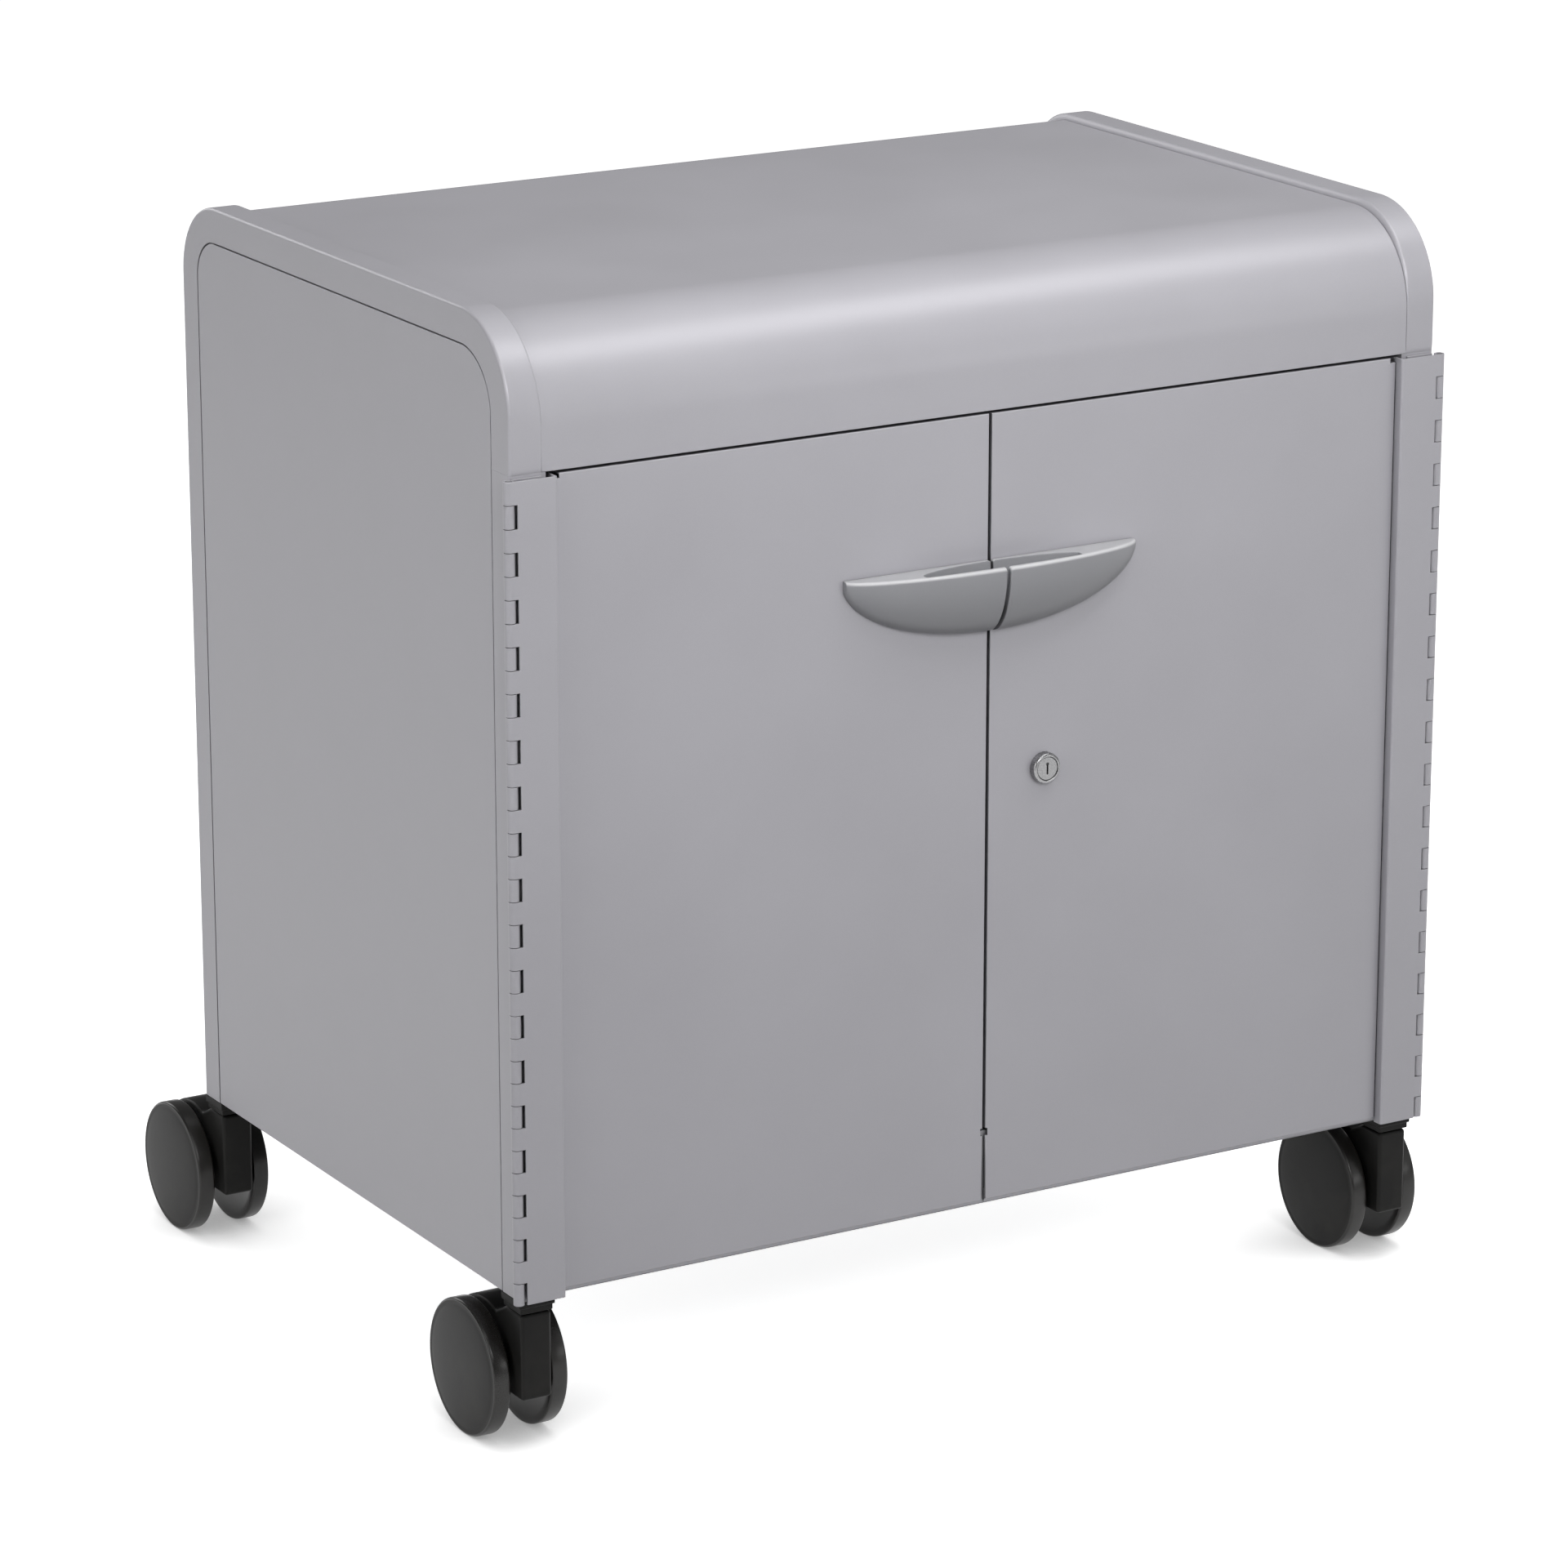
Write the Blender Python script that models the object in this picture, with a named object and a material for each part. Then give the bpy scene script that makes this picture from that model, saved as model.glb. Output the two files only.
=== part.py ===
"""Mobile tote tray cabinet: a steel cabinet on twin-wheel casters, with two doors on knuckled hinges.

Metres, +Z up. The cabinet's front faces -Y and the floor is at Z = 0. Pieces are drawn in cabinet
coordinates: X from the middle, Y from the front plane towards the back, Z from the floor. One empty
moves them so that the origin is under the middle of the whole part's box.
"""

import math

import bmesh
import bpy
from mathutils import Vector

# Body
BODY_WIDTH = 0.762
BODY_DEPTH = 0.506
BODY_TOP = 0.810
SHEET = 0.0012
SEAT_GAP = 0.0003
OVERRUN = 0.002
MERGE_DISTANCE = 0.000003
SMOOTH_ANGLE = math.radians(35.0)

# End frames: a rim that stands above the top sheet, a side band and a lip behind the side panel
FRONT_RADIUS = 0.068
BACK_RADIUS = 0.055
FRONT_ARC_STEPS = 12
BACK_ARC_STEPS = 10
RIM_FLAT = 0.0215
SHOULDER_WIDTH = 0.003
RIM_RISE = 0.005
RIM_EDGE_RADIUS = 0.0022
EDGE_MIDPOINT_SHARE = 0.3
CREST_ACROSS_SHARE = 0.75
CREST_DOWN_SHARE = 0.35
BAND_WIDTH = 0.025
REVEAL = 0.0018
LIP_REACH = 0.013
SIDE_PANEL_THICKNESS = 0.0025
FLANGE_WIDTH = 0.012
FLANGE_GAP = 0.0005
FLANGE_START = 0.006
POST_WIDTH = 0.028
POST_DEPTH = 0.026

# Top shell with its header above the doors
HEADER_HEIGHT = 0.104
HEADER_FLANGE = 0.034
RIM_HEM = 0.004
RIM_STEP = 0.0005
SHELL_BACK_DROP = 0.010
BACK_PANEL_RISE = 0.002

# Base deck: an upside-down pan whose front wall shows behind the meeting doors
DECK_HEIGHT = 0.056
DECK_FRONT = 0.0032
DECK_RETURN = 0.015
DECK_POST_CLEARANCE = 0.0028
DECK_BACK_NOTCH = 0.0286

# Doors
DOOR_TOP_GAP = 0.002
DOOR_BOTTOM_RISE = 0.002
DOOR_MEETING_GAP = 0.0023
DOOR_PAN_DEPTH = 0.018
DOOR_RETURN = 0.015
APRON_GAP = 0.002
HEM_HEIGHT = 0.010
CORNER_NOTCH_WIDTH = 0.005
CORNER_NOTCH_HEIGHT = 0.0035
MEETING_NOTCH_WIDTH = 0.002
MEETING_NOTCH_HEIGHT = 0.005

# Continuous hinges with rolled knuckles
HINGE_SHEET = 0.0015
BARREL_RADIUS = 0.0039
PIN_RADIUS = 0.0019
PIN_SIDES = 10
AXIS_OUTSIDE = 0.0026
AXIS_FORWARD = 0.00375
KNUCKLE_PAIRS = 18
KNUCKLE_PLAY = 0.0004
KNUCKLE_SLOT = 0.0009
ROLL_SWEEP = math.radians(290.0)
ROLL_STEPS = 7
ROLL_INNER_STEPS = 5
STRIP_WIDTH = 0.0328
STEP_WALL_DEPTH = 0.014
BODY_LEAF_REACH = 0.024

# Pulls: two halves of one cup
PULL_HALF_LENGTH = 0.122
PULL_PROJECTION = 0.0265
PULL_HEIGHT = 0.051
PULL_DROP = 0.105
PULL_POCKET_LENGTH = 0.066
PULL_POCKET_DEPTH = 0.036
PULL_WALL = 0.0035
PULL_BACK_WALL = 0.003
PULL_POCKET_END = 0.0185
PULL_STATION_SHARES = (0.0, 0.25, 0.48, 0.68, 0.84, 0.94, 0.985)
PULL_ROUND_STEPS = 7
POCKET_STATION_SHARES = (0.0, 0.35, 0.65, 0.88, 0.98)
POCKET_ROUND_STEPS = 6
PULL_LIP_SHARE = 0.06
POCKET_TIP_SHARE = 0.25

# Lock
LOCK_OFFSET = 0.047
LOCK_DROP = 0.159
LOCK_RING_RADIUS = 0.0113
LOCK_RING_BEVEL = 0.0018
LOCK_PROJECTION = 0.0064
LOCK_BARREL_RADIUS = 0.0098
LOCK_BORE_RADIUS = 0.0088
LOCK_PLUG_RADIUS = 0.0085
LOCK_PLUG_INSET = 0.0006
LOCK_BARREL_END = 0.0195
LOCK_SIDES = 20
LOCK_NUT_RADIUS = 0.0135
LOCK_NUT_SIDES = 6
LOCK_NUT_THICKNESS = 0.004
KEYHOLE_WIDTH = 0.0014
KEYHOLE_HEIGHT = 0.0085
KEYHOLE_DEPTH = 0.004
CAM_LENGTH = 0.042
CAM_WIDTH = 0.014
CAM_THICKNESS = 0.0022
CAM_BOSS_RADIUS = 0.0075
CAM_BOSS_STEPS = 6
CAM_TAIL_HALF = 0.003
CAM_STANDOFF = 0.001

# Magnetic catch and its strikes
CATCH_WIDTH = 0.060
CATCH_HEIGHT = 0.0145
CATCH_DEPTH = 0.0135
CATCH_MAGNET_WIDTH = 0.020
CATCH_MAGNET_REACH = 0.001
STRIKE_WIDTH = 0.022
STRIKE_HEIGHT = 0.010
STRIKE_OFFSET = 0.017
STRIKE_DROP = 0.0105

# Divider and runner racks
DIVIDER_SHEET = 0.0015
KEEPER_REACH = 0.0148
KEEPER_FRONT = 0.0188
KEEPER_FOOT = 0.008
DIVIDER_SHOULDER_DROP = 0.021
DIVIDER_STEP_BACK = 0.036
RACK_TOP_DROP = 0.018
RACK_MIDDLE_FACE = 0.036
RACK_FRONT_CLEARANCE = 0.0005
RACK_BACK_CLEARANCE = 0.002
RACK_FACE = 0.030
LEDGE_WIDTH = 0.008
LEDGE_THICKNESS = 0.0015
LEDGE_END_INSET = 0.002

# Tote trays
TRAY_ROWS = 5
TRAY_SPACING = 0.027
TRAY_WALL = 0.002
TRAY_RIM = 0.009
TRAY_RIM_THICKNESS = 0.003
TRAY_TAPER = 0.006
TRAY_CORNER = 0.020
TRAY_CORNER_STEPS = 2
TRAY_SIDE_PLAY = 0.0015
TRAY_FRONT_GAP = 0.063
TRAY_BACK_GAP = 0.016
TRAY_DECK_GAP = 0.010
TRAY_TOP_DROP = 0.014
GRIP_WIDTH = 0.120
GRIP_DROP = 0.022
GRIP_THICKNESS = 0.002

# Casters
WHEEL_RADIUS = 0.050
BODY_CLEARANCE = 0.016
WHEEL_SIDES = 20
WHEEL_RIM_OUTER = 0.0292
WHEEL_RIM_INNER = 0.0162
WHEEL_DOME = 0.0025
WHEEL_EDGE = 0.0018
WHEEL_HUB_RADIUS = 0.011
WHEEL_HUB_FACE = 0.0135
WHEEL_DISH = 0.0205
WHEEL_DISH_RADIUS = 0.042
WHEEL_DOME_SHARES = ((0.92, 0.0), (0.45, 0.9))
WHEEL_BORE_DEPTH = 0.0250
AXLE_RADIUS = 0.0038
AXLE_SIDES = 12
STEM_INSET = 0.014
STEM_RADIUS = 0.0055
STEM_SIDES = 12
STEM_REACH = 0.016
CASTER_TRAIL = 0.046
HOUSING_WIDTH = 0.024
HOUSING_FRONT = 0.012
HOUSING_BLOCK_BOTTOM = 0.040
SWIVEL_GAP = 0.001
HOUSING_BLOCK_DEPTH = 0.022
HOOD_DROP = 0.0004
HOOD_STEPS = 7
HOOD_START = math.radians(112.0)
HOOD_END = math.radians(-8.0)
HUB_WEB_RADIUS = 0.018
HUB_WEB_START = math.radians(-40.0)
HUB_WEB_END = math.radians(-140.0)
HUB_WEB_STEPS = 4
PLUG_SIZE = 0.028
PLUG_LOWER_SIZE = 0.0255
PLUG_HEIGHT = 0.0105
PLUG_TIER = 0.0045
PLUG_INSERT_SIZE = 0.016
PLUG_INSERT_REACH = 0.026

# Places worked out from the sizes above
HALF_WIDTH = BODY_WIDTH / 2.0
BODY_UNDERSIDE = 2.0 * WHEEL_RADIUS + BODY_CLEARANCE
HEADER_BOTTOM = BODY_TOP - HEADER_HEIGHT
DECK_TOP = BODY_UNDERSIDE + DECK_HEIGHT
SHELL_EDGE = RIM_FLAT + SHOULDER_WIDTH
LIP_FACE = SIDE_PANEL_THICKNESS + SEAT_GAP
HINGE_AXIS_X = HALF_WIDTH + AXIS_OUTSIDE
POST_FACE = BARREL_RADIUS - AXIS_FORWARD + SEAT_GAP
DOOR_TOP = HEADER_BOTTOM - DOOR_TOP_GAP
DOOR_BOTTOM = BODY_UNDERSIDE + DOOR_BOTTOM_RISE
PULL_TOP = DOOR_TOP - PULL_DROP
LOCK_HEIGHT = PULL_TOP - LOCK_DROP
PAN_BOTTOM = DECK_TOP + APRON_GAP
DOOR_HINGE_EDGE = HALF_WIDTH - STRIP_WIDTH - SEAT_GAP
DOOR_MEETING_EDGE = DOOR_MEETING_GAP / 2.0
RACK_OUTER_FACE = HALF_WIDTH - RACK_FACE
RACK_INNER_FACE = RACK_MIDDLE_FACE
RACK_TOP = HEADER_BOTTOM - RACK_TOP_DROP
DIVIDER_SHOULDER = HEADER_BOTTOM - DIVIDER_SHOULDER_DROP
RACK_FRONT = POST_DEPTH + RACK_FRONT_CLEARANCE
DIVIDER_FRONT = KEEPER_FRONT + DIVIDER_SHEET + SEAT_GAP
BACK_INSIDE = BODY_DEPTH - RIM_RISE - SHEET - FLANGE_GAP - SHEET
RACK_BACK = BACK_INSIDE - RACK_BACK_CLEARANCE
TRAY_WIDTH = RACK_OUTER_FACE - RACK_INNER_FACE - 2.0 * TRAY_SIDE_PLAY
TRAY_CENTRE = (RACK_OUTER_FACE + RACK_INNER_FACE) / 2.0
TRAY_BACK = BODY_DEPTH - TRAY_BACK_GAP
TRAY_DEPTH = TRAY_BACK - TRAY_FRONT_GAP
TRAY_FIRST_BOTTOM = DECK_TOP + TRAY_DECK_GAP
TRAY_PITCH = (HEADER_BOTTOM - TRAY_TOP_DROP - TRAY_FIRST_BOTTOM) / TRAY_ROWS
TRAY_HEIGHT = TRAY_PITCH - TRAY_SPACING
PLUG_BOTTOM = BODY_UNDERSIDE - PLUG_HEIGHT
PLUG_INSERT_TOP = BODY_UNDERSIDE + PLUG_INSERT_REACH
STEM_TOP = BODY_UNDERSIDE + STEM_REACH
HOUSING_TOP = PLUG_BOTTOM - SWIVEL_GAP
PART_FRONT = -PULL_PROJECTION - SEAT_GAP
PART_BACK = BODY_DEPTH - STEM_INSET + CASTER_TRAIL + WHEEL_RADIUS
FRONT_PLANE_Y = -(PART_FRONT + PART_BACK) / 2.0

SIDES = (("left", -1.0), ("right", 1.0))

PLACES = {}


def clear_scene():
    for item in list(bpy.data.objects):
        bpy.data.objects.remove(item, do_unlink=True)


def finish(name, colour, roughness, metallic):
    material = bpy.data.materials.new(name)
    material.use_nodes = True
    shader = material.node_tree.nodes["Principled BSDF"]
    shader.inputs["Base Color"].default_value = (*colour, 1.0)
    shader.inputs["Roughness"].default_value = roughness
    shader.inputs["Metallic"].default_value = metallic
    return material


def make_finishes():
    return {
        "paint": ("silver_paint", (0.40, 0.40, 0.42), 0.38, 0.35),
        "inside": ("inner_paint", (0.36, 0.36, 0.38), 0.5, 0.2),
        "pull": ("pull_lacquer", (0.38, 0.39, 0.41), 0.3, 0.3),
        "steel": ("plated_steel", (0.55, 0.55, 0.56), 0.3, 0.9),
        "lock": ("lock_chrome", (0.50, 0.50, 0.51), 0.25, 0.9),
        "magnet": ("catch_plastic", (0.10, 0.10, 0.11), 0.5, 0.0),
        "black": ("caster_plastic", (0.022, 0.022, 0.021), 0.35, 0.0),
        "tread": ("wheel_plastic", (0.028, 0.028, 0.027), 0.3, 0.0),
        "tray": ("tray_plastic", (0.62, 0.66, 0.70), 0.45, 0.0),
    }


def add_axis(name, place, parent=None):
    """An empty at a joint's axis or at a fixed reference, placed in cabinet coordinates."""
    empty = bpy.data.objects.new(name, None)
    bpy.context.scene.collection.objects.link(empty)
    PLACES[name] = Vector(place)
    hold(empty, parent, Vector(place))
    return empty


def hold(item, parent, place):
    if parent is None:
        item.location = place
        return
    item.parent = parent
    item.location = place - PLACES[parent.name]


def add_solid(name, shape, look, parent, round_piece=False):
    """Turns a bmesh in cabinet coordinates into an object whose origin is its parent's origin."""
    origin = PLACES[parent.name]
    bmesh.ops.remove_doubles(shape, verts=shape.verts, dist=MERGE_DISTANCE)
    bmesh.ops.recalc_face_normals(shape, faces=shape.faces)
    bmesh.ops.translate(shape, verts=shape.verts, vec=-origin)
    mesh = bpy.data.meshes.new(name)
    shape.to_mesh(mesh)
    shape.free()
    if round_piece:
        mesh.shade_smooth()
        mesh.set_sharp_from_angle(angle=SMOOTH_ANGLE)
    item = bpy.data.objects.new(name, mesh)
    bpy.context.scene.collection.objects.link(item)
    hold(item, parent, origin)
    if look:
        label, colour, roughness, metallic = look
        mesh.materials.append(finish(f"{name}_{label}", colour, roughness, metallic))
    return item


def combine(target, name, shape, operation="DIFFERENCE"):
    """Cuts or joins a helper shape, given in cabinet coordinates, with a live Boolean."""
    helper = add_solid(name, shape, None, target.parent)
    helper.hide_render = True
    helper.display_type = "WIRE"
    modifier = target.modifiers.new(name, "BOOLEAN")
    modifier.operation = operation
    modifier.solver = "EXACT"
    modifier.object = helper


def add_loft(shape, loops):
    """Bridges loops of equal length and closes both ends."""
    rings = [[shape.verts.new(point) for point in loop] for loop in loops]
    count = len(rings[0])
    for lower, upper in zip(rings, rings[1:]):
        for i in range(count):
            j = (i + 1) % count
            shape.faces.new((lower[i], lower[j], upper[j], upper[i]))
    shape.faces.new(list(reversed(rings[0])))
    shape.faces.new(rings[-1])
    return shape


def loft(loops):
    return add_loft(bmesh.new(), loops)


def box(low, high, shape=None):
    shape = shape or bmesh.new()
    corners = ((0, 0), (1, 0), (1, 1), (0, 1))
    span = (low, high)
    loops = [[Vector((span[i][0], span[j][1], span[k][2])) for i, j in corners] for k in (0, 1)]
    return add_loft(shape, loops)


def prism_x(outline, start, end):
    """Extrudes a (Y, Z) outline along X."""
    return loft([[Vector((x, y, z)) for y, z in outline] for x in (start, end)])


def prism_z(outline, start, end):
    """Extrudes an (X, Y) outline along Z."""
    return loft([[Vector((x, y, z)) for x, y in outline] for z in (start, end)])


def arc(centre, radius, start, end, steps):
    """Points of an arc in a plane, both ends included; angles in radians."""
    angles = [start + (end - start) * i / steps for i in range(steps + 1)]
    return [(centre[0] + radius * math.cos(a), centre[1] + radius * math.sin(a)) for a in angles]


def ring(centre, radius, sides, across, along):
    """A regular polygon with a flat at its lowest side, in the plane of two unit vectors."""
    phase = math.pi / sides
    turns = [2.0 * math.pi * i / sides + phase for i in range(sides)]
    return [centre + radius * (math.cos(t) * across + math.sin(t) * along) for t in turns]


def turned(profile, axis_point, axis, sides):
    """Revolves (distance along the axis, radius) points; both ends are closed flat."""
    direction = Vector(axis).normalized()
    along = Vector((0.0, 0.0, 1.0)) if abs(direction.z) < 0.5 else Vector((0.0, 1.0, 0.0))
    across = direction.cross(along)
    start = Vector(axis_point)
    return loft([ring(start + direction * step, radius, sides, across, along) for step, radius in profile])


def rod(start, end, radius, sides):
    start, end = Vector(start), Vector(end)
    return turned([(0.0, radius), ((end - start).length, radius)], start, end - start, sides)


def circumscribed(radius, sides):
    return radius / math.cos(math.pi / sides)


# The end frame's section is a folded sheet. Its points are (distance in from the side face,
# depth in from the frame's outline), outer skin first, then the inner skin back again.

def side_skin():
    inner_lip = LIP_FACE + SHEET
    fold = BAND_WIDTH - SHEET
    lip_end = BAND_WIDTH + REVEAL + LIP_REACH
    outer = [(LIP_FACE, lip_end), (LIP_FACE, BAND_WIDTH), (0.0, BAND_WIDTH)]
    inner = [(SHEET, fold), (inner_lip, fold), (inner_lip, lip_end)]
    return outer, inner


def edge_points(depth):
    middle = RIM_EDGE_RADIUS * EDGE_MIDPOINT_SHARE
    return [(0.0, depth + RIM_EDGE_RADIUS), (middle, depth + middle), (RIM_EDGE_RADIUS, depth)]


def rim_section(recess, flange):
    """The rim with its shoulder down to the top sheet; the flange carries the sheet's edge."""
    outer, inner = side_skin()
    seat = recess + SHEET + FLANGE_GAP
    crest = (RIM_FLAT + SHOULDER_WIDTH * CREST_ACROSS_SHARE, recess * CREST_DOWN_SHARE)
    top_of_wall = [(RIM_FLAT, 0.0), crest, (SHELL_EDGE, recess), (SHELL_EDGE, seat)]
    if flange:
        tip = [(SHELL_EDGE + FLANGE_WIDTH, seat), (SHELL_EDGE + FLANGE_WIDTH, seat + SHEET)]
    else:
        tip = [(SHELL_EDGE, seat + SHEET / 2.0), (SHELL_EDGE - SHEET / 2.0, seat + SHEET)]
    under = SHELL_EDGE - SHEET
    back = [(under, seat + SHEET), (under, recess + SHEET), (RIM_FLAT - SEAT_GAP, SHEET), (SHEET, SHEET)]
    return outer + edge_points(0.0) + top_of_wall + tip + back + inner


def post_section():
    """The front post below the header: a channel with a jamb that faces the door."""
    outer, inner = side_skin()
    jamb = POST_WIDTH
    face = POST_FACE
    front = [(jamb / 2.0, face), (jamb - SHEET, face), (jamb, face)]
    front += [(jamb, POST_DEPTH / 2.0), (jamb, POST_DEPTH)]
    back = [(jamb - SHEET, POST_DEPTH), (jamb - SHEET, POST_DEPTH / 2.0), (jamb - SHEET, face + SHEET)]
    web = [(jamb / 2.0, face + SHEET), (SHEET, face + SHEET)]
    return outer + edge_points(face) + front + back + web + inner


def front_shoulder_depth(angle):
    """How deep the top sheet lies under the rim, where its arc's centre is RIM_RISE lower."""
    drop = RIM_RISE * math.sin(angle)
    reach = math.sqrt(drop * drop + FRONT_RADIUS ** 2 - RIM_RISE ** 2)
    return FRONT_RADIUS + drop - reach


def frame_stations():
    """(point, inward normal, section) along the frame, up the front, over the top, down the back."""
    inward = (1.0, 0.0)
    stations = [((0.0, BODY_UNDERSIDE), inward, post_section())]
    stations.append(((0.0, HEADER_BOTTOM - 2.0 * RIM_STEP), inward, post_section()))
    stations.append(((POST_FACE, HEADER_BOTTOM - RIM_STEP), inward, rim_section(0.0, False)))
    stations.append(((0.0, HEADER_BOTTOM + RIM_HEM), inward, rim_section(0.0, False)))
    stations.append(((0.0, HEADER_BOTTOM + FLANGE_START), inward, rim_section(0.0, True)))
    stations.append(((0.0, BODY_TOP - FRONT_RADIUS - RIM_RISE), inward, rim_section(0.0, True)))
    centre = (FRONT_RADIUS, BODY_TOP - FRONT_RADIUS)
    for i in range(FRONT_ARC_STEPS + 1):
        angle = math.pi - i * math.pi / 2.0 / FRONT_ARC_STEPS
        normal = (-math.cos(angle), -math.sin(angle))
        point = (centre[0] + FRONT_RADIUS * math.cos(angle), centre[1] + FRONT_RADIUS * math.sin(angle))
        stations.append((point, normal, rim_section(front_shoulder_depth(angle), True)))
    centre = (BODY_DEPTH - BACK_RADIUS, BODY_TOP - BACK_RADIUS)
    for i in range(BACK_ARC_STEPS + 1):
        angle = math.pi / 2.0 - i * math.pi / 2.0 / BACK_ARC_STEPS
        normal = (-math.cos(angle), -math.sin(angle))
        point = (centre[0] + BACK_RADIUS * math.cos(angle), centre[1] + BACK_RADIUS * math.sin(angle))
        stations.append((point, normal, rim_section(RIM_RISE, True)))
    stations.append(((BODY_DEPTH, BODY_UNDERSIDE), (-1.0, 0.0), rim_section(RIM_RISE, True)))
    return stations


def end_frame(side):
    loops = []
    for (y, z), (normal_y, normal_z), section in frame_stations():
        loop = [
            Vector((side * (HALF_WIDTH - inset), y + normal_y * depth, z + normal_z * depth))
            for inset, depth in section
        ]
        loops.append(loop)
    return loft(loops)


def arch(offset, bottom):
    """The end frame's outline drawn in by an offset, from the front foot over to the back foot."""
    top = BODY_TOP - FRONT_RADIUS
    front = arc((FRONT_RADIUS, top), FRONT_RADIUS - offset, math.pi, math.pi / 2.0, FRONT_ARC_STEPS)
    centre = (BODY_DEPTH - BACK_RADIUS, BODY_TOP - BACK_RADIUS)
    back = arc(centre, BACK_RADIUS - offset, math.pi / 2.0, 0.0, BACK_ARC_STEPS)
    return [(offset, bottom)] + front + back + [(BODY_DEPTH - offset, bottom)]


def side_panel(side):
    outline = arch(BAND_WIDTH + REVEAL, BODY_UNDERSIDE)
    return prism_x(outline, side * HALF_WIDTH, side * (HALF_WIDTH - SIDE_PANEL_THICKNESS))


def shell_skin(thickness):
    """One face of the top sheet as (Y, Z) points from the header's foot to the back edge."""
    top = BODY_TOP - RIM_RISE
    front_centre = (FRONT_RADIUS, top - FRONT_RADIUS)
    front_radius = FRONT_RADIUS - thickness
    back_centre = (BODY_DEPTH - BACK_RADIUS, BODY_TOP - BACK_RADIUS)
    back_radius = BACK_RADIUS - RIM_RISE - thickness
    points = [(thickness, HEADER_BOTTOM + thickness)]
    points += arc(front_centre, front_radius, math.pi, math.pi / 2.0, FRONT_ARC_STEPS)
    points += arc(back_centre, back_radius, math.pi / 2.0, 0.0, BACK_ARC_STEPS)
    points.append((back_centre[0] + back_radius, back_centre[1] - SHELL_BACK_DROP))
    return points


def top_shell():
    foot = [(HEADER_FLANGE, HEADER_BOTTOM + SHEET), (HEADER_FLANGE, HEADER_BOTTOM)]
    outline = foot + shell_skin(0.0) + list(reversed(shell_skin(SHEET)))
    edge = HALF_WIDTH - SHELL_EDGE - SEAT_GAP
    return prism_x(outline, -edge, edge)


def back_panel():
    edge = HALF_WIDTH - SHELL_EDGE - SEAT_GAP
    outer = BODY_DEPTH - RIM_RISE
    top = BODY_TOP - BACK_RADIUS - SHELL_BACK_DROP - SEAT_GAP
    return box((-edge, outer - SHEET, BODY_UNDERSIDE + BACK_PANEL_RISE), (edge, outer, top))


def deck_outline(inset):
    """The base deck in plan, notched round the four posts and drawn in by the inset."""
    side = HALF_WIDTH - LIP_FACE - SHEET - SEAT_GAP - inset
    front_notch = HALF_WIDTH - POST_WIDTH - DECK_POST_CLEARANCE - inset
    notch_depth = POST_DEPTH + SEAT_GAP + inset
    back_notch = HALF_WIDTH - DECK_BACK_NOTCH - inset
    back_notch_start = BODY_DEPTH - DECK_BACK_NOTCH - inset
    front = DECK_FRONT + inset
    back = BACK_INSIDE - SEAT_GAP - inset
    right = [(front_notch, front), (front_notch, notch_depth), (side, notch_depth)]
    right += [(side, back_notch_start), (back_notch, back_notch_start), (back_notch, back)]
    left = [(-x, y) for x, y in reversed(right)]
    return right + left


def add_base_deck(root, look):
    deck = add_solid("base_deck", prism_z(deck_outline(0.0), BODY_UNDERSIDE, DECK_TOP), look, root)
    cavity = prism_z(deck_outline(SHEET), BODY_UNDERSIDE + SHEET, DECK_TOP - SHEET)
    combine(deck, "deck_cavity", cavity)
    middle = (BODY_UNDERSIDE + DECK_TOP) / 2.0
    mouth = prism_z(deck_outline(DECK_RETURN), BODY_UNDERSIDE - OVERRUN, middle)
    combine(deck, "deck_mouth", mouth)


def add_divider(root, look):
    """The upright between the tray columns, and the keeper strip for the lock on its front edge."""
    half = DIVIDER_SHEET / 2.0
    top = BODY_TOP - RIM_RISE - SHEET - SEAT_GAP
    shell_centre = top - FRONT_RADIUS + SHEET + SEAT_GAP
    reach = FRONT_RADIUS - SHEET - 2.0 * SEAT_GAP
    inset = FRONT_RADIUS - DIVIDER_STEP_BACK
    shoulder = shell_centre + math.sqrt(reach ** 2 - inset ** 2) - SEAT_GAP
    foot = DECK_TOP + SEAT_GAP
    back_centre = (BODY_DEPTH - BACK_RADIUS, BODY_TOP - BACK_RADIUS)
    back_rise = BACK_RADIUS - RIM_RISE - SHEET - 2.0 * SEAT_GAP
    back_reach = RACK_BACK - back_centre[0]
    back_shoulder = back_centre[1] + math.sqrt(back_rise ** 2 - back_reach ** 2) - SEAT_GAP
    outline = [
        (DIVIDER_FRONT, foot),
        (DIVIDER_FRONT, DIVIDER_SHOULDER),
        (DIVIDER_STEP_BACK, DIVIDER_SHOULDER),
        (DIVIDER_STEP_BACK, shoulder),
        (FRONT_RADIUS, top),
        (back_centre[0], top),
        (RACK_BACK, back_shoulder),
        (RACK_BACK, foot),
    ]
    add_solid("centre_divider", prism_x(outline, -half, half), look, root)
    low = (-half, KEEPER_FRONT, foot + KEEPER_FOOT)
    high = (KEEPER_REACH, KEEPER_FRONT + DIVIDER_SHEET, DIVIDER_SHOULDER - KEEPER_FOOT)
    add_solid("lock_keeper", box(low, high), look, root)


def tray_bottom(row):
    return TRAY_FIRST_BOTTOM + row * TRAY_PITCH


def ledge_top(row):
    return tray_bottom(row) + TRAY_HEIGHT - TRAY_RIM_THICKNESS - SEAT_GAP


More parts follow.
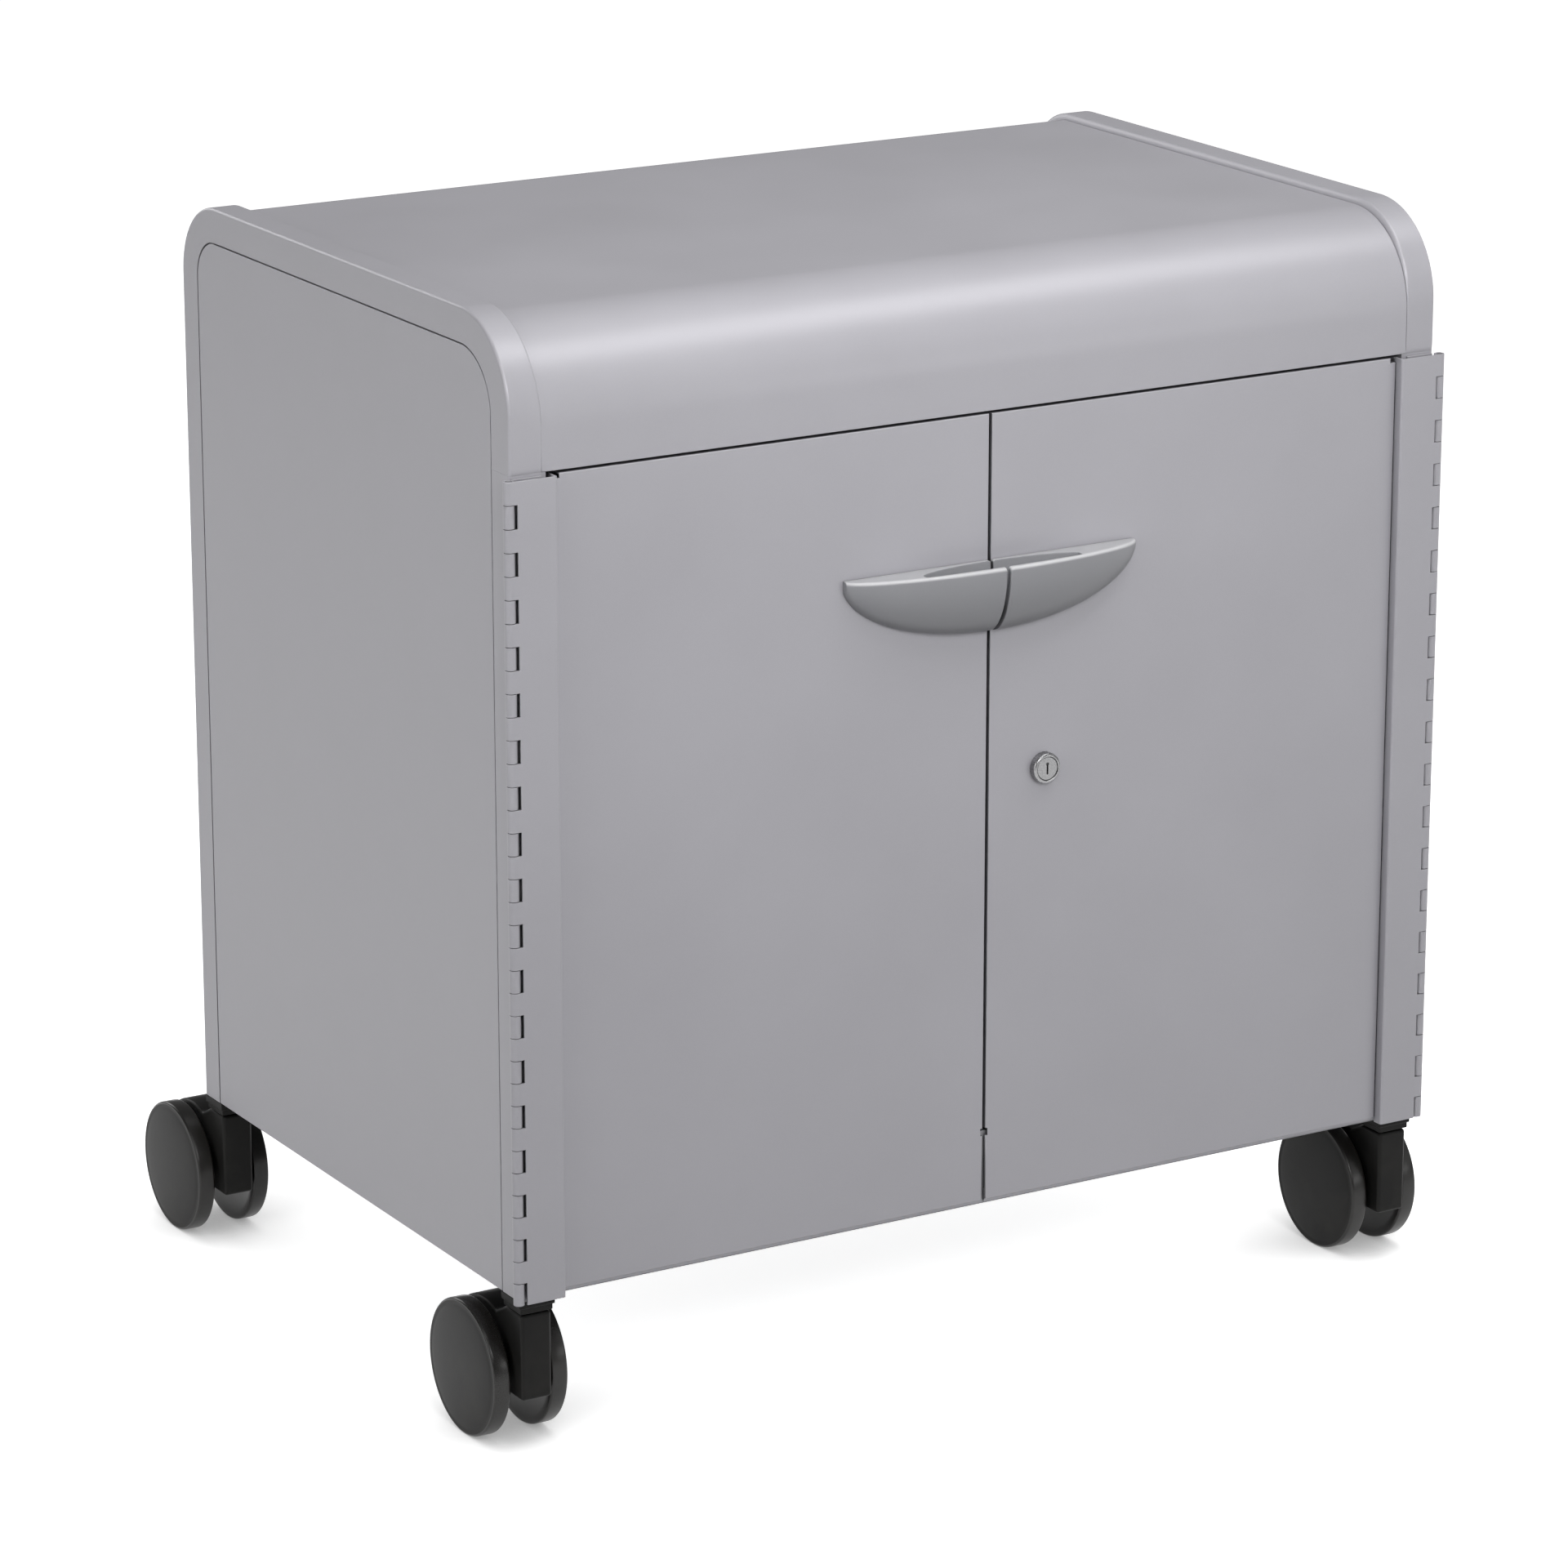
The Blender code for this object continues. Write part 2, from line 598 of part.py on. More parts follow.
def add_rack(name, carrier, face, root, look):
    """A channel with one ledge a row; its flanges reach back to what carries it."""
    way = 1.0 if face > carrier else -1.0
    inner = face - way * SHEET
    outline = [
        (carrier, RACK_FRONT),
        (face, RACK_FRONT),
        (face, RACK_BACK),
        (carrier, RACK_BACK),
        (carrier, RACK_BACK - SHEET),
        (inner, RACK_BACK - SHEET),
        (inner, RACK_FRONT + SHEET),
        (carrier, RACK_FRONT + SHEET),
    ]
    rack = add_solid(name, prism_z(outline, DECK_TOP + SEAT_GAP, RACK_TOP), look, root)
    root_of_ledge = face - way * SHEET / 2.0
    tip = face + way * LEDGE_WIDTH
    ledges = bmesh.new()
    for row in range(TRAY_ROWS):
        upper = ledge_top(row)
        low = (min(root_of_ledge, tip), RACK_FRONT + LEDGE_END_INSET, upper - LEDGE_THICKNESS)
        high = (max(root_of_ledge, tip), RACK_BACK - LEDGE_END_INSET, upper)
        box(low, high, ledges)
    combine(rack, f"{name}_ledges", ledges, "UNION")


def add_racks(root, look):
    carrier = HALF_WIDTH - LIP_FACE - SHEET - SEAT_GAP
    inner_carrier = DIVIDER_SHEET / 2.0 + SEAT_GAP
    for label, side in SIDES:
        add_rack(f"runner_rack_{label}_outer", side * carrier, side * RACK_OUTER_FACE, root, look)
        add_rack(f"runner_rack_{label}_inner", side * inner_carrier, side * RACK_INNER_FACE, root, look)


def rounded_rectangle(half_x, low_y, high_y, radius, centre_x, z):
    corners = (
        (half_x - radius, high_y - radius, 0.0),
        (-half_x + radius, high_y - radius, math.pi / 2.0),
        (-half_x + radius, low_y + radius, math.pi),
        (half_x - radius, low_y + radius, 1.5 * math.pi),
    )
    points = []
    for x, y, start in corners:
        points += arc((centre_x + x, y), radius, start, start + math.pi / 2.0, TRAY_CORNER_STEPS)
    return [Vector((x, y, z)) for x, y in points]


def tray_loop(centre_x, z, inset, front, corner):
    return rounded_rectangle(
        TRAY_WIDTH / 2.0 - inset, front + inset, TRAY_BACK - inset, corner, centre_x, z
    )


def add_tray(name, centre_x, bottom, axis, look):
    """A moulded tray that hangs on its rim, with a turned-down grip at the front."""
    top = bottom + TRAY_HEIGHT
    under_rim = top - TRAY_RIM_THICKNESS
    front = TRAY_BACK - TRAY_DEPTH
    body = TRAY_RIM
    foot = TRAY_RIM + TRAY_TAPER
    corner = TRAY_CORNER
    loops = [
        tray_loop(centre_x, bottom, foot, front, corner),
        tray_loop(centre_x, under_rim, body, front, corner),
        tray_loop(centre_x, under_rim, 0.0, front, corner),
        tray_loop(centre_x, top, 0.0, front, corner),
        tray_loop(centre_x, top, body + TRAY_WALL, front, corner - TRAY_WALL),
        tray_loop(centre_x, bottom + TRAY_WALL, foot + TRAY_WALL, front, corner - TRAY_WALL),
    ]
    tray = add_solid(name, loft(loops), look, axis, round_piece=True)
    grip_front = front + SEAT_GAP
    low = (centre_x - GRIP_WIDTH / 2.0, grip_front, top - GRIP_DROP)
    high = (centre_x + GRIP_WIDTH / 2.0, grip_front + GRIP_THICKNESS, top - TRAY_RIM_THICKNESS / 2.0)
    combine(tray, f"{name}_grip", box(low, high), "UNION")


def add_trays(root, look):
    for label, side in SIDES:
        for row in range(TRAY_ROWS):
            bottom = tray_bottom(row)
            name = f"tray_{label}_{row + 1}"
            axis = add_axis(f"{name}_slide", (side * TRAY_CENTRE, TRAY_BACK, bottom), root)
            add_tray(name, side * TRAY_CENTRE, bottom, axis, look)


def knuckle_pitch():
    return (DOOR_TOP - BODY_UNDERSIDE) / KNUCKLE_PAIRS


def rolled_edge(side, facing):
    """A sheet's edge rolled round the hinge axis, as (X, Y) points, outer skin then inner skin.

    facing is -1 for a roll that starts at the front of the axis and +1 for one from the back.
    """
    start = facing * math.pi / 2.0
    turn = facing * ROLL_SWEEP
    outer = arc((0.0, 0.0), BARREL_RADIUS, start, start + turn, ROLL_STEPS)
    inner = arc((0.0, 0.0), BARREL_RADIUS - HINGE_SHEET, start + turn, start, ROLL_INNER_STEPS)
    axis_x = side * HINGE_AXIS_X
    return [(axis_x - side * x, y - AXIS_FORWARD) for x, y in outer + inner]


def notch_boxes(side, first, reach):
    """Boxes that clear the other leaf's knuckles, from the top down; first is 0 or 1."""
    half = knuckle_pitch() / 2.0
    outer = side * (HINGE_AXIS_X + BARREL_RADIUS + OVERRUN)
    inner = side * (HINGE_AXIS_X - BARREL_RADIUS - reach)
    shape = bmesh.new()
    for pair in range(KNUCKLE_PAIRS):
        top = DOOR_TOP - pair * knuckle_pitch() - first * half + KNUCKLE_PLAY / 2.0
        bottom = top - half - KNUCKLE_PLAY
        if pair == 0 and first == 0:
            top += OVERRUN
        if pair == KNUCKLE_PAIRS - 1 and first == 1:
            bottom -= OVERRUN
        low = (min(outer, inner), -AXIS_FORWARD - BARREL_RADIUS - OVERRUN, bottom)
        high = (max(outer, inner), BARREL_RADIUS + OVERRUN, top)
        box(low, high, shape)
    return shape


def add_door_leaf(label, side, axis, look):
    """The raised strip on the door's edge: knuckles, front strip and the step back to the pan."""
    outer_x = side * (HALF_WIDTH - STRIP_WIDTH)
    inner_x = side * (HALF_WIDTH - STRIP_WIDTH + HINGE_SHEET)
    front = -AXIS_FORWARD - BARREL_RADIUS
    strip = [(inner_x, front + HINGE_SHEET), (inner_x, STEP_WALL_DEPTH)]
    strip += [(outer_x, STEP_WALL_DEPTH), (outer_x, front)]
    outline = rolled_edge(side, -1.0) + strip
    name = f"hinge_leaf_door_{label}"
    leaf = add_solid(name, prism_z(outline, BODY_UNDERSIDE, DOOR_TOP), look, axis, round_piece=True)
    combine(leaf, f"{name}_notches", notch_boxes(side, 1, KNUCKLE_SLOT))
    ends = sorted((outer_x - side * OVERRUN, inner_x + side * OVERRUN))
    low = (ends[0], SHEET, BODY_UNDERSIDE - OVERRUN)
    high = (ends[1], STEP_WALL_DEPTH + OVERRUN, PAN_BOTTOM)
    combine(leaf, f"{name}_deck_relief", box(low, high))


def add_body_leaf(label, side, root, look):
    """The leaf on the post's front face, hidden behind the door's strip when the door is shut."""
    end_x = side * (HALF_WIDTH - BODY_LEAF_REACH)
    back = BARREL_RADIUS - AXIS_FORWARD
    outline = rolled_edge(side, 1.0) + [(end_x, back - HINGE_SHEET), (end_x, back)]
    name = f"hinge_leaf_body_{label}"
    leaf = add_solid(name, prism_z(outline, BODY_UNDERSIDE, DOOR_TOP), look, root, round_piece=True)
    combine(leaf, f"{name}_notches", notch_boxes(side, 0, KNUCKLE_PLAY))


def add_hinge_pin(label, side, root, look):
    place = (side * HINGE_AXIS_X, -AXIS_FORWARD)
    shape = rod((*place, BODY_UNDERSIDE), (*place, DOOR_TOP), PIN_RADIUS, PIN_SIDES)
    add_solid(f"hinge_pin_{label}", shape, look, root, round_piece=True)


def door_profile():
    """A door from its side, as (Y, Z) points: a pan above and a hemmed apron over the deck wall."""
    return [
        (0.0, DOOR_BOTTOM),
        (2.0 * SHEET, DOOR_BOTTOM),
        (2.0 * SHEET, DOOR_BOTTOM + HEM_HEIGHT),
        (SHEET, DOOR_BOTTOM + HEM_HEIGHT),
        (SHEET, PAN_BOTTOM),
        (DOOR_PAN_DEPTH, PAN_BOTTOM),
        (DOOR_PAN_DEPTH, DOOR_TOP),
        (0.0, DOOR_TOP),
    ]


def side_box(side, inner, outer, low_y, high_y, low_z, high_z):
    """A box between two distances from the middle, on the given side."""
    ends = sorted((side * inner, side * outer))
    return box((ends[0], low_y, low_z), (ends[1], high_y, high_z))


def add_door(label, side, axis, look):
    meet, edge = DOOR_MEETING_EDGE, DOOR_HINGE_EDGE
    name = f"door_{label}"
    shape = prism_x(door_profile(), side * meet, side * edge)
    door = add_solid(name, shape, look, axis)
    pan_back = DOOR_PAN_DEPTH - SHEET
    inside = side_box(
        side, meet + SHEET, edge - SHEET, SHEET, pan_back, PAN_BOTTOM + SHEET, DOOR_TOP - SHEET
    )
    combine(door, f"{name}_inside", inside)
    mouth = side_box(
        side,
        meet + DOOR_RETURN,
        edge - DOOR_RETURN,
        DOOR_PAN_DEPTH / 2.0,
        DOOR_PAN_DEPTH + OVERRUN,
        PAN_BOTTOM + DOOR_RETURN,
        DOOR_TOP - DOOR_RETURN,
    )
    combine(door, f"{name}_mouth", mouth)
    corner = side_box(
        side,
        edge - CORNER_NOTCH_WIDTH,
        edge + OVERRUN,
        -OVERRUN,
        DOOR_PAN_DEPTH + OVERRUN,
        DOOR_TOP - CORNER_NOTCH_HEIGHT,
        DOOR_TOP + OVERRUN,
    )
    combine(door, f"{name}_corner_notch", corner)
    meeting = side_box(
        side,
        0.0,
        meet + MEETING_NOTCH_WIDTH,
        -OVERRUN,
        DOOR_PAN_DEPTH + OVERRUN,
        PAN_BOTTOM - MEETING_NOTCH_HEIGHT,
        PAN_BOTTOM + SHEET / 2.0,
    )
    combine(door, f"{name}_meeting_notch", meeting)
    return door


def cup_stations(shares, length, start):
    return [(start + (length - start) * s, math.sqrt(1.0 - s * s)) for s in shares]


def add_pull(label, side, axis, look):
    """Half of the cup: a quarter-round shell closing on the door, hollowed from its flat top."""
    name = f"pull_{label}"
    door_face = -SEAT_GAP
    loops = []
    for x, swell in cup_stations(PULL_STATION_SHARES, PULL_HALF_LENGTH, DOOR_MEETING_EDGE):
        out = PULL_PROJECTION * swell
        drop = PULL_HEIGHT * swell
        lip = PULL_PROJECTION * PULL_LIP_SHARE * swell
        loop = [Vector((side * x, door_face, PULL_TOP))]
        loop.append(Vector((side * x, door_face - out + lip, PULL_TOP)))
        for i in range(PULL_ROUND_STEPS + 1):
            angle = math.pi / 2.0 * i / PULL_ROUND_STEPS
            y = door_face - out * math.cos(angle)
            z = PULL_TOP - lip - (drop - lip) * math.sin(angle)
            loop.append(Vector((side * x, y, z)))
        loops.append(loop)
    pull = add_solid(name, loft(loops), look, axis, round_piece=True)
    combine(pull, f"{name}_pocket", pull_pocket(side, door_face))


def pull_pocket(side, door_face):
    """The finger pocket: a lens in plan, deepest and widest where the two halves meet."""
    front_at_middle = PULL_PROJECTION - PULL_WALL
    loops = []
    for x, swell in cup_stations(POCKET_STATION_SHARES, PULL_POCKET_LENGTH, -OVERRUN):
        near = PULL_POCKET_END - (PULL_POCKET_END - PULL_BACK_WALL) * swell
        far = PULL_POCKET_END + (front_at_middle - PULL_POCKET_END) * swell
        far += PULL_WALL * POCKET_TIP_SHARE * (1.0 - swell)
        drop = PULL_POCKET_DEPTH * swell
        loop = [Vector((side * x, door_face - near, PULL_TOP + OVERRUN))]
        loop.append(Vector((side * x, door_face - far, PULL_TOP + OVERRUN)))
        for i in range(POCKET_ROUND_STEPS + 1):
            angle = math.pi / 2.0 * i / POCKET_ROUND_STEPS
            y = door_face - near - (far - near) * math.cos(angle)
            z = PULL_TOP - drop * math.sin(angle)
            loop.append(Vector((side * x, y, z)))
        loops.append(loop)
    return loft(loops)


def add_lock(door, door_axis, looks):
    """A cam lock: ring and barrel, nut behind the door, turning plug with a keyhole, and the cam."""
    centre = Vector((LOCK_OFFSET, 0.0, LOCK_HEIGHT))
    back = (0.0, 1.0, 0.0)
    hole_radius = LOCK_BARREL_RADIUS + SEAT_GAP
    through = Vector((0.0, OVERRUN, 0.0))
    hole = rod(centre - through, centre + 2.0 * through, hole_radius, LOCK_SIDES)
    combine(door, "door_right_lock_hole", hole)
    front = -LOCK_PROJECTION
    ring_back = -SEAT_GAP
    profile = [
        (LOCK_BARREL_END, LOCK_BORE_RADIUS),
        (LOCK_BARREL_END, LOCK_BARREL_RADIUS),
        (ring_back, LOCK_BARREL_RADIUS),
        (ring_back, LOCK_RING_RADIUS),
        (front + LOCK_RING_BEVEL, LOCK_RING_RADIUS),
        (front, LOCK_RING_RADIUS - LOCK_RING_BEVEL),
        (front, LOCK_BORE_RADIUS),
    ]
    add_solid("lock_housing", tube(profile, centre, back), looks["lock"], door_axis, round_piece=True)
    nut_front = SHEET + SEAT_GAP
    nut_back = nut_front + LOCK_NUT_THICKNESS
    nut = turned([(nut_front, LOCK_NUT_RADIUS), (nut_back, LOCK_NUT_RADIUS)], centre, back, LOCK_NUT_SIDES)
    nut_item = add_solid("lock_nut", nut, looks["steel"], door_axis)
    bore = turned([(0.0, hole_radius), (nut_back + OVERRUN, hole_radius)], centre, back, LOCK_SIDES)
    combine(nut_item, "lock_nut_bore", bore)
    turn = add_axis("lock_turn", centre, door_axis)
    plug_front = front + LOCK_PLUG_INSET
    plug_profile = [
        (plug_front, LOCK_PLUG_RADIUS),
        (LOCK_BARREL_END, LOCK_PLUG_RADIUS),
        (LOCK_BARREL_END, CAM_TAIL_HALF),
        (LOCK_BARREL_END + CAM_STANDOFF, CAM_TAIL_HALF),
    ]
    plug = add_solid("lock_plug", turned(plug_profile, centre, back, LOCK_SIDES), looks["lock"], turn, True)
    half_width, half_height = KEYHOLE_WIDTH / 2.0, KEYHOLE_HEIGHT / 2.0
    low = centre + Vector((-half_width, plug_front - OVERRUN, -half_height))
    high = centre + Vector((half_width, plug_front + KEYHOLE_DEPTH, half_height))
    combine(plug, "lock_keyhole", box(low, high))
    cam_front = LOCK_BARREL_END + CAM_STANDOFF + SEAT_GAP
    add_solid("lock_cam", cam_shape(centre, cam_front), looks["steel"], turn)


def cam_shape(centre, front):
    """A flat cam with a round boss end, hanging straight down in the unlocked position."""
    tip = CAM_WIDTH / 2.0
    boss = arc((0.0, 0.0), CAM_BOSS_RADIUS, 0.0, math.pi, CAM_BOSS_STEPS)
    outline = boss + [(-tip, -CAM_LENGTH + tip / 2.0), (-tip / 2.0, -CAM_LENGTH)]
    outline += [(tip / 2.0, -CAM_LENGTH), (tip, -CAM_LENGTH + tip / 2.0)]
    loops = []
    for y in (front, front + CAM_THICKNESS):
        loops.append([Vector((centre.x + x, y, centre.z + z)) for x, z in outline])
    return loft(loops)


def tube(profile, axis_point, axis):
    """Revolves a closed profile that stays off the axis."""
    direction = Vector(axis).normalized()
    along = Vector((0.0, 0.0, 1.0))
    across = direction.cross(along)
    start = Vector(axis_point)
    shape = bmesh.new()
    rings = []
    for step, radius in profile:
        points = ring(start + direction * step, radius, LOCK_SIDES, across, along)
        rings.append([shape.verts.new(point) for point in points])
    for lower, upper in zip(rings, rings[1:] + rings[:1]):
        for i in range(LOCK_SIDES):
            j = (i + 1) % LOCK_SIDES
            shape.faces.new((lower[i], lower[j], upper[j], upper[i]))
    return shape


def add_catch(root, looks):
    """A double magnetic catch under the header flange."""
    half = CATCH_WIDTH / 2.0
    top = HEADER_BOTTOM - SEAT_GAP
    front = DOOR_PAN_DEPTH + SHEET + 2.0 * SEAT_GAP + CATCH_MAGNET_REACH
    shape = box((-half, front, top - CATCH_HEIGHT), (half, front + CATCH_DEPTH, top))
    catch = add_solid("magnetic_catch", shape, looks["magnet"], root)
    magnets = bmesh.new()
    magnet_top = top - (CATCH_HEIGHT - STRIKE_HEIGHT) / 2.0
    for _, side in SIDES:
        middle = side * STRIKE_OFFSET
        half_magnet = CATCH_MAGNET_WIDTH / 2.0
        low = (middle - half_magnet, front - CATCH_MAGNET_REACH, magnet_top - STRIKE_HEIGHT)
        high = (middle + half_magnet, front + CATCH_MAGNET_REACH, magnet_top)
        box(low, high, magnets)
    combine(catch, "catch_magnets", magnets, "UNION")


def add_strike(label, side, axis, look):
    """A steel plate on the door's inner return, drawn by the magnet."""
    centre_z = DOOR_TOP - STRIKE_DROP + STRIKE_HEIGHT / 4.0
    front = DOOR_PAN_DEPTH + SEAT_GAP
    shape = side_box(
        side,
        STRIKE_OFFSET - STRIKE_WIDTH / 2.0,
        STRIKE_OFFSET + STRIKE_WIDTH / 2.0,
        front,
        front + SHEET,
        centre_z - STRIKE_HEIGHT / 2.0,
        centre_z + STRIKE_HEIGHT / 2.0,
    )
    add_solid(f"catch_strike_{label}", shape, look, axis)


def wheel_shape(centre, way):
    """One wheel of a pair, from the blind bore out over the hub, rim and domed face."""
    outer_radius = circumscribed(WHEEL_RADIUS, WHEEL_SIDES)
    bore = AXLE_RADIUS + SEAT_GAP
    profile = [
        (WHEEL_BORE_DEPTH, bore),
        (WHEEL_HUB_FACE, bore),
        (WHEEL_HUB_FACE, WHEEL_HUB_RADIUS),
        (WHEEL_DISH, WHEEL_HUB_RADIUS),
        (WHEEL_DISH, WHEEL_DISH_RADIUS),
        (WHEEL_RIM_INNER, WHEEL_DISH_RADIUS + WHEEL_EDGE),
        (WHEEL_RIM_INNER + WHEEL_EDGE, outer_radius),
        (WHEEL_RIM_OUTER - WHEEL_EDGE, outer_radius),
    ]
    for radius_share, dome_share in WHEEL_DOME_SHARES:
        profile.append((WHEEL_RIM_OUTER + WHEEL_DOME * dome_share, outer_radius * radius_share))
    return turned(profile, centre, (way, 0.0, 0.0), WHEEL_SIDES)


def housing_outline(stem_y, axle_y):
    """The caster housing from its side: a block under the stem and a hood over the wheel gap."""
    hood = WHEEL_RADIUS - HOOD_DROP
    front = stem_y - HOUSING_FRONT
    points = [(front, HOUSING_BLOCK_BOTTOM), (front, HOUSING_TOP), (stem_y + HOUSING_FRONT, HOUSING_TOP)]
    points += arc((axle_y, WHEEL_RADIUS), hood, HOOD_START, HOOD_END, HOOD_STEPS)
    points += arc((axle_y, WHEEL_RADIUS), HUB_WEB_RADIUS, HUB_WEB_START, HUB_WEB_END, HUB_WEB_STEPS)
    points.append((front + HOUSING_BLOCK_DEPTH, HOUSING_BLOCK_BOTTOM))
    return points


def square_loop(centre_x, centre_y, size, z):
    half = size / 2.0
    corners = ((-half, -half), (half, -half), (half, half), (-half, half))
    return [Vector((centre_x + x, centre_y + y, z)) for x, y in corners]


def add_caster(label, stem_x, stem_y, root, looks):
    plug_top = BODY_UNDERSIDE - SEAT_GAP
    tier = PLUG_BOTTOM + PLUG_TIER
    plug_loops = [
        square_loop(stem_x, stem_y, PLUG_LOWER_SIZE, PLUG_BOTTOM),
        square_loop(stem_x, stem_y, PLUG_LOWER_SIZE, tier),
        square_loop(stem_x, stem_y, PLUG_SIZE, tier),
        square_loop(stem_x, stem_y, PLUG_SIZE, plug_top),
        square_loop(stem_x, stem_y, PLUG_INSERT_SIZE, plug_top),
        square_loop(stem_x, stem_y, PLUG_INSERT_SIZE, PLUG_INSERT_TOP),
    ]
    plug = add_solid(f"caster_socket_{label}", loft(plug_loops), looks["black"], root)
    bore_radius = STEM_RADIUS + SEAT_GAP
    bore_end = STEM_TOP + SEAT_GAP
    bore_start = (stem_x, stem_y, PLUG_BOTTOM - OVERRUN)
    bore = rod(bore_start, (stem_x, stem_y, bore_end), bore_radius, STEM_SIDES)
    combine(plug, f"caster_socket_{label}_bore", bore)

    axle_y = stem_y + CASTER_TRAIL
    swivel = add_axis(f"caster_swivel_{label}", (stem_x, stem_y, PLUG_BOTTOM), root)
    half = HOUSING_WIDTH / 2.0
    shape = prism_x(housing_outline(stem_y, axle_y), stem_x - half, stem_x + half)
    housing = add_solid(f"caster_housing_{label}", shape, looks["black"], swivel, round_piece=True)
    stem_start = (stem_x, stem_y, HOUSING_TOP - PLUG_TIER)
    stem = rod(stem_start, (stem_x, stem_y, STEM_TOP), STEM_RADIUS, STEM_SIDES)
    combine(housing, f"caster_stem_{label}", stem, "UNION")
    hole_reach = half + OVERRUN
    hole_radius = AXLE_RADIUS + SEAT_GAP
    hole = rod(
        (stem_x - hole_reach, axle_y, WHEEL_RADIUS),
        (stem_x + hole_reach, axle_y, WHEEL_RADIUS),
        hole_radius,
        AXLE_SIDES,
    )
    combine(housing, f"caster_axle_hole_{label}", hole)
    reach = WHEEL_BORE_DEPTH - SEAT_GAP
    axle_start = (stem_x - reach, axle_y, WHEEL_RADIUS)
    axle = rod(axle_start, (stem_x + reach, axle_y, WHEEL_RADIUS), AXLE_RADIUS, AXLE_SIDES)
    add_solid(f"caster_axle_{label}", axle, looks["steel"], swivel, round_piece=True)
    centre = (stem_x, axle_y, WHEEL_RADIUS)
    for wheel_label, way in SIDES:
        spin = add_axis(f"caster_spin_{label}_{wheel_label}", centre, swivel)
        name = f"caster_wheel_{label}_{wheel_label}"
        add_solid(name, wheel_shape(centre, way), looks["tread"], spin, round_piece=True)


def add_casters(root, looks):
    stem_x = HALF_WIDTH - STEM_INSET
    rows = (("front", STEM_INSET), ("back", BODY_DEPTH - STEM_INSET))
    for row, stem_y in rows:
        for label, side in SIDES:
            add_caster(f"{row}_{label}", side * stem_x, stem_y, root, looks)


def add_body(root, looks):
    for label, side in SIDES:
        add_solid(f"end_frame_{label}", end_frame(side), looks["paint"], root, round_piece=True)
        add_solid(f"side_panel_{label}", side_panel(side), looks["paint"], root)
    add_solid("top_shell", top_shell(), looks["paint"], root, round_piece=True)
    add_solid("back_panel", back_panel(), looks["paint"], root)
    add_base_deck(root, looks["inside"])
    add_divider(root, looks["inside"])
    add_racks(root, looks["inside"])
    add_catch(root, looks)


def add_doors(root, looks):
    for label, side in SIDES:
        place = (side * HINGE_AXIS_X, -AXIS_FORWARD, BODY_UNDERSIDE)
        axis = add_axis(f"door_swing_{label}", place, root)
        add_body_leaf(label, side, root, looks["paint"])
        add_hinge_pin(label, side, root, looks["steel"])
        door = add_door(label, side, axis, looks["paint"])
        add_door_leaf(label, side, axis, looks["paint"])
        add_pull(label, side, axis, looks["pull"])
        add_strike(label, side, axis, looks["steel"])
        if side > 0.0:
            add_lock(door, axis, looks)


def build():
    clear_scene()
    PLACES.clear()
    looks = make_finishes()
    root = add_axis("cabinet_front_centre", (0.0, 0.0, 0.0))
    root.location = (0.0, FRONT_PLANE_Y, 0.0)
    add_body(root, looks)
    add_doors(root, looks)
    add_trays(root, looks["tray"])
    add_casters(root, looks)
    bpy.context.view_layer.update()


build()
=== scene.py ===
"""Looks for the mobile tote tray cabinet: finer sheet metal, hinges, pulls, lock, casters and trays
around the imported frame, with their finishes, a pale floor, soft light and the photo's view.

Metres, +Z up. Pieces are drawn in cabinet coordinates, with Y from the front plane, and moved by
FRONT_PLANE_Y into the frame's coordinates.
"""

import math

import bmesh
import bpy
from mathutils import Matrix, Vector

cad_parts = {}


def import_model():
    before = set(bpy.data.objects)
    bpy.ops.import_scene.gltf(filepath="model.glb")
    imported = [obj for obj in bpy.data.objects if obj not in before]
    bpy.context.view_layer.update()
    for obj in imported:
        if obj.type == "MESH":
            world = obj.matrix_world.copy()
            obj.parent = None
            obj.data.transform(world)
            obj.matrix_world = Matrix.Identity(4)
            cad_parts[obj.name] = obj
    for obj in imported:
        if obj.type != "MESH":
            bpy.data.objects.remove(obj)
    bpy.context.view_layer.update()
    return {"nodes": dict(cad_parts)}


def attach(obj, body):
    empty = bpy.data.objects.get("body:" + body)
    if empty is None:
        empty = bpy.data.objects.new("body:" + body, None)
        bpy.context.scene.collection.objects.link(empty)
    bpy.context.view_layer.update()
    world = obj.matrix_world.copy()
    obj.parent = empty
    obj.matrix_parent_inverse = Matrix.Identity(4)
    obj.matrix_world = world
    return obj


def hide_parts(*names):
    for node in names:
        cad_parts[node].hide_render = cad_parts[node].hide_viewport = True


# Body
HALF_WIDTH = 0.381
BODY_DEPTH = 0.506
BODY_TOP = 0.810
BODY_UNDERSIDE = 0.116
SHEET = 0.0012
SEAT_GAP = 0.0003
SHELL_GAP = SEAT_GAP / 3.0
OVERRUN = 0.002
MERGE_DISTANCE = 0.000003

# End frames
FRONT_RADIUS = 0.068
BACK_RADIUS = 0.055
ARC_STEPS = 40
RIM_FLAT = 0.0215
SHOULDER_WIDTH = 0.003
SHOULDER_STEPS = 8
RIM_RISE = 0.005
RIM_EDGE_RADIUS = 0.0022
RIM_EDGE_STEPS = 5
BAND_WIDTH = 0.025
REVEAL = 0.0018
LIP_REACH = 0.013
PANEL_GAP = 0.0013
SIDE_PANEL_THICKNESS = 0.0025
FLANGE_WIDTH = 0.012
FLANGE_GAP = 0.0005
POST_WIDTH = 0.028
POST_DEPTH = 0.026

# Top shell
HEADER_BOTTOM = 0.706
HEADER_FLANGE = 0.034
HEM_RISE = 0.004
SHELL_BACK_DROP = 0.010

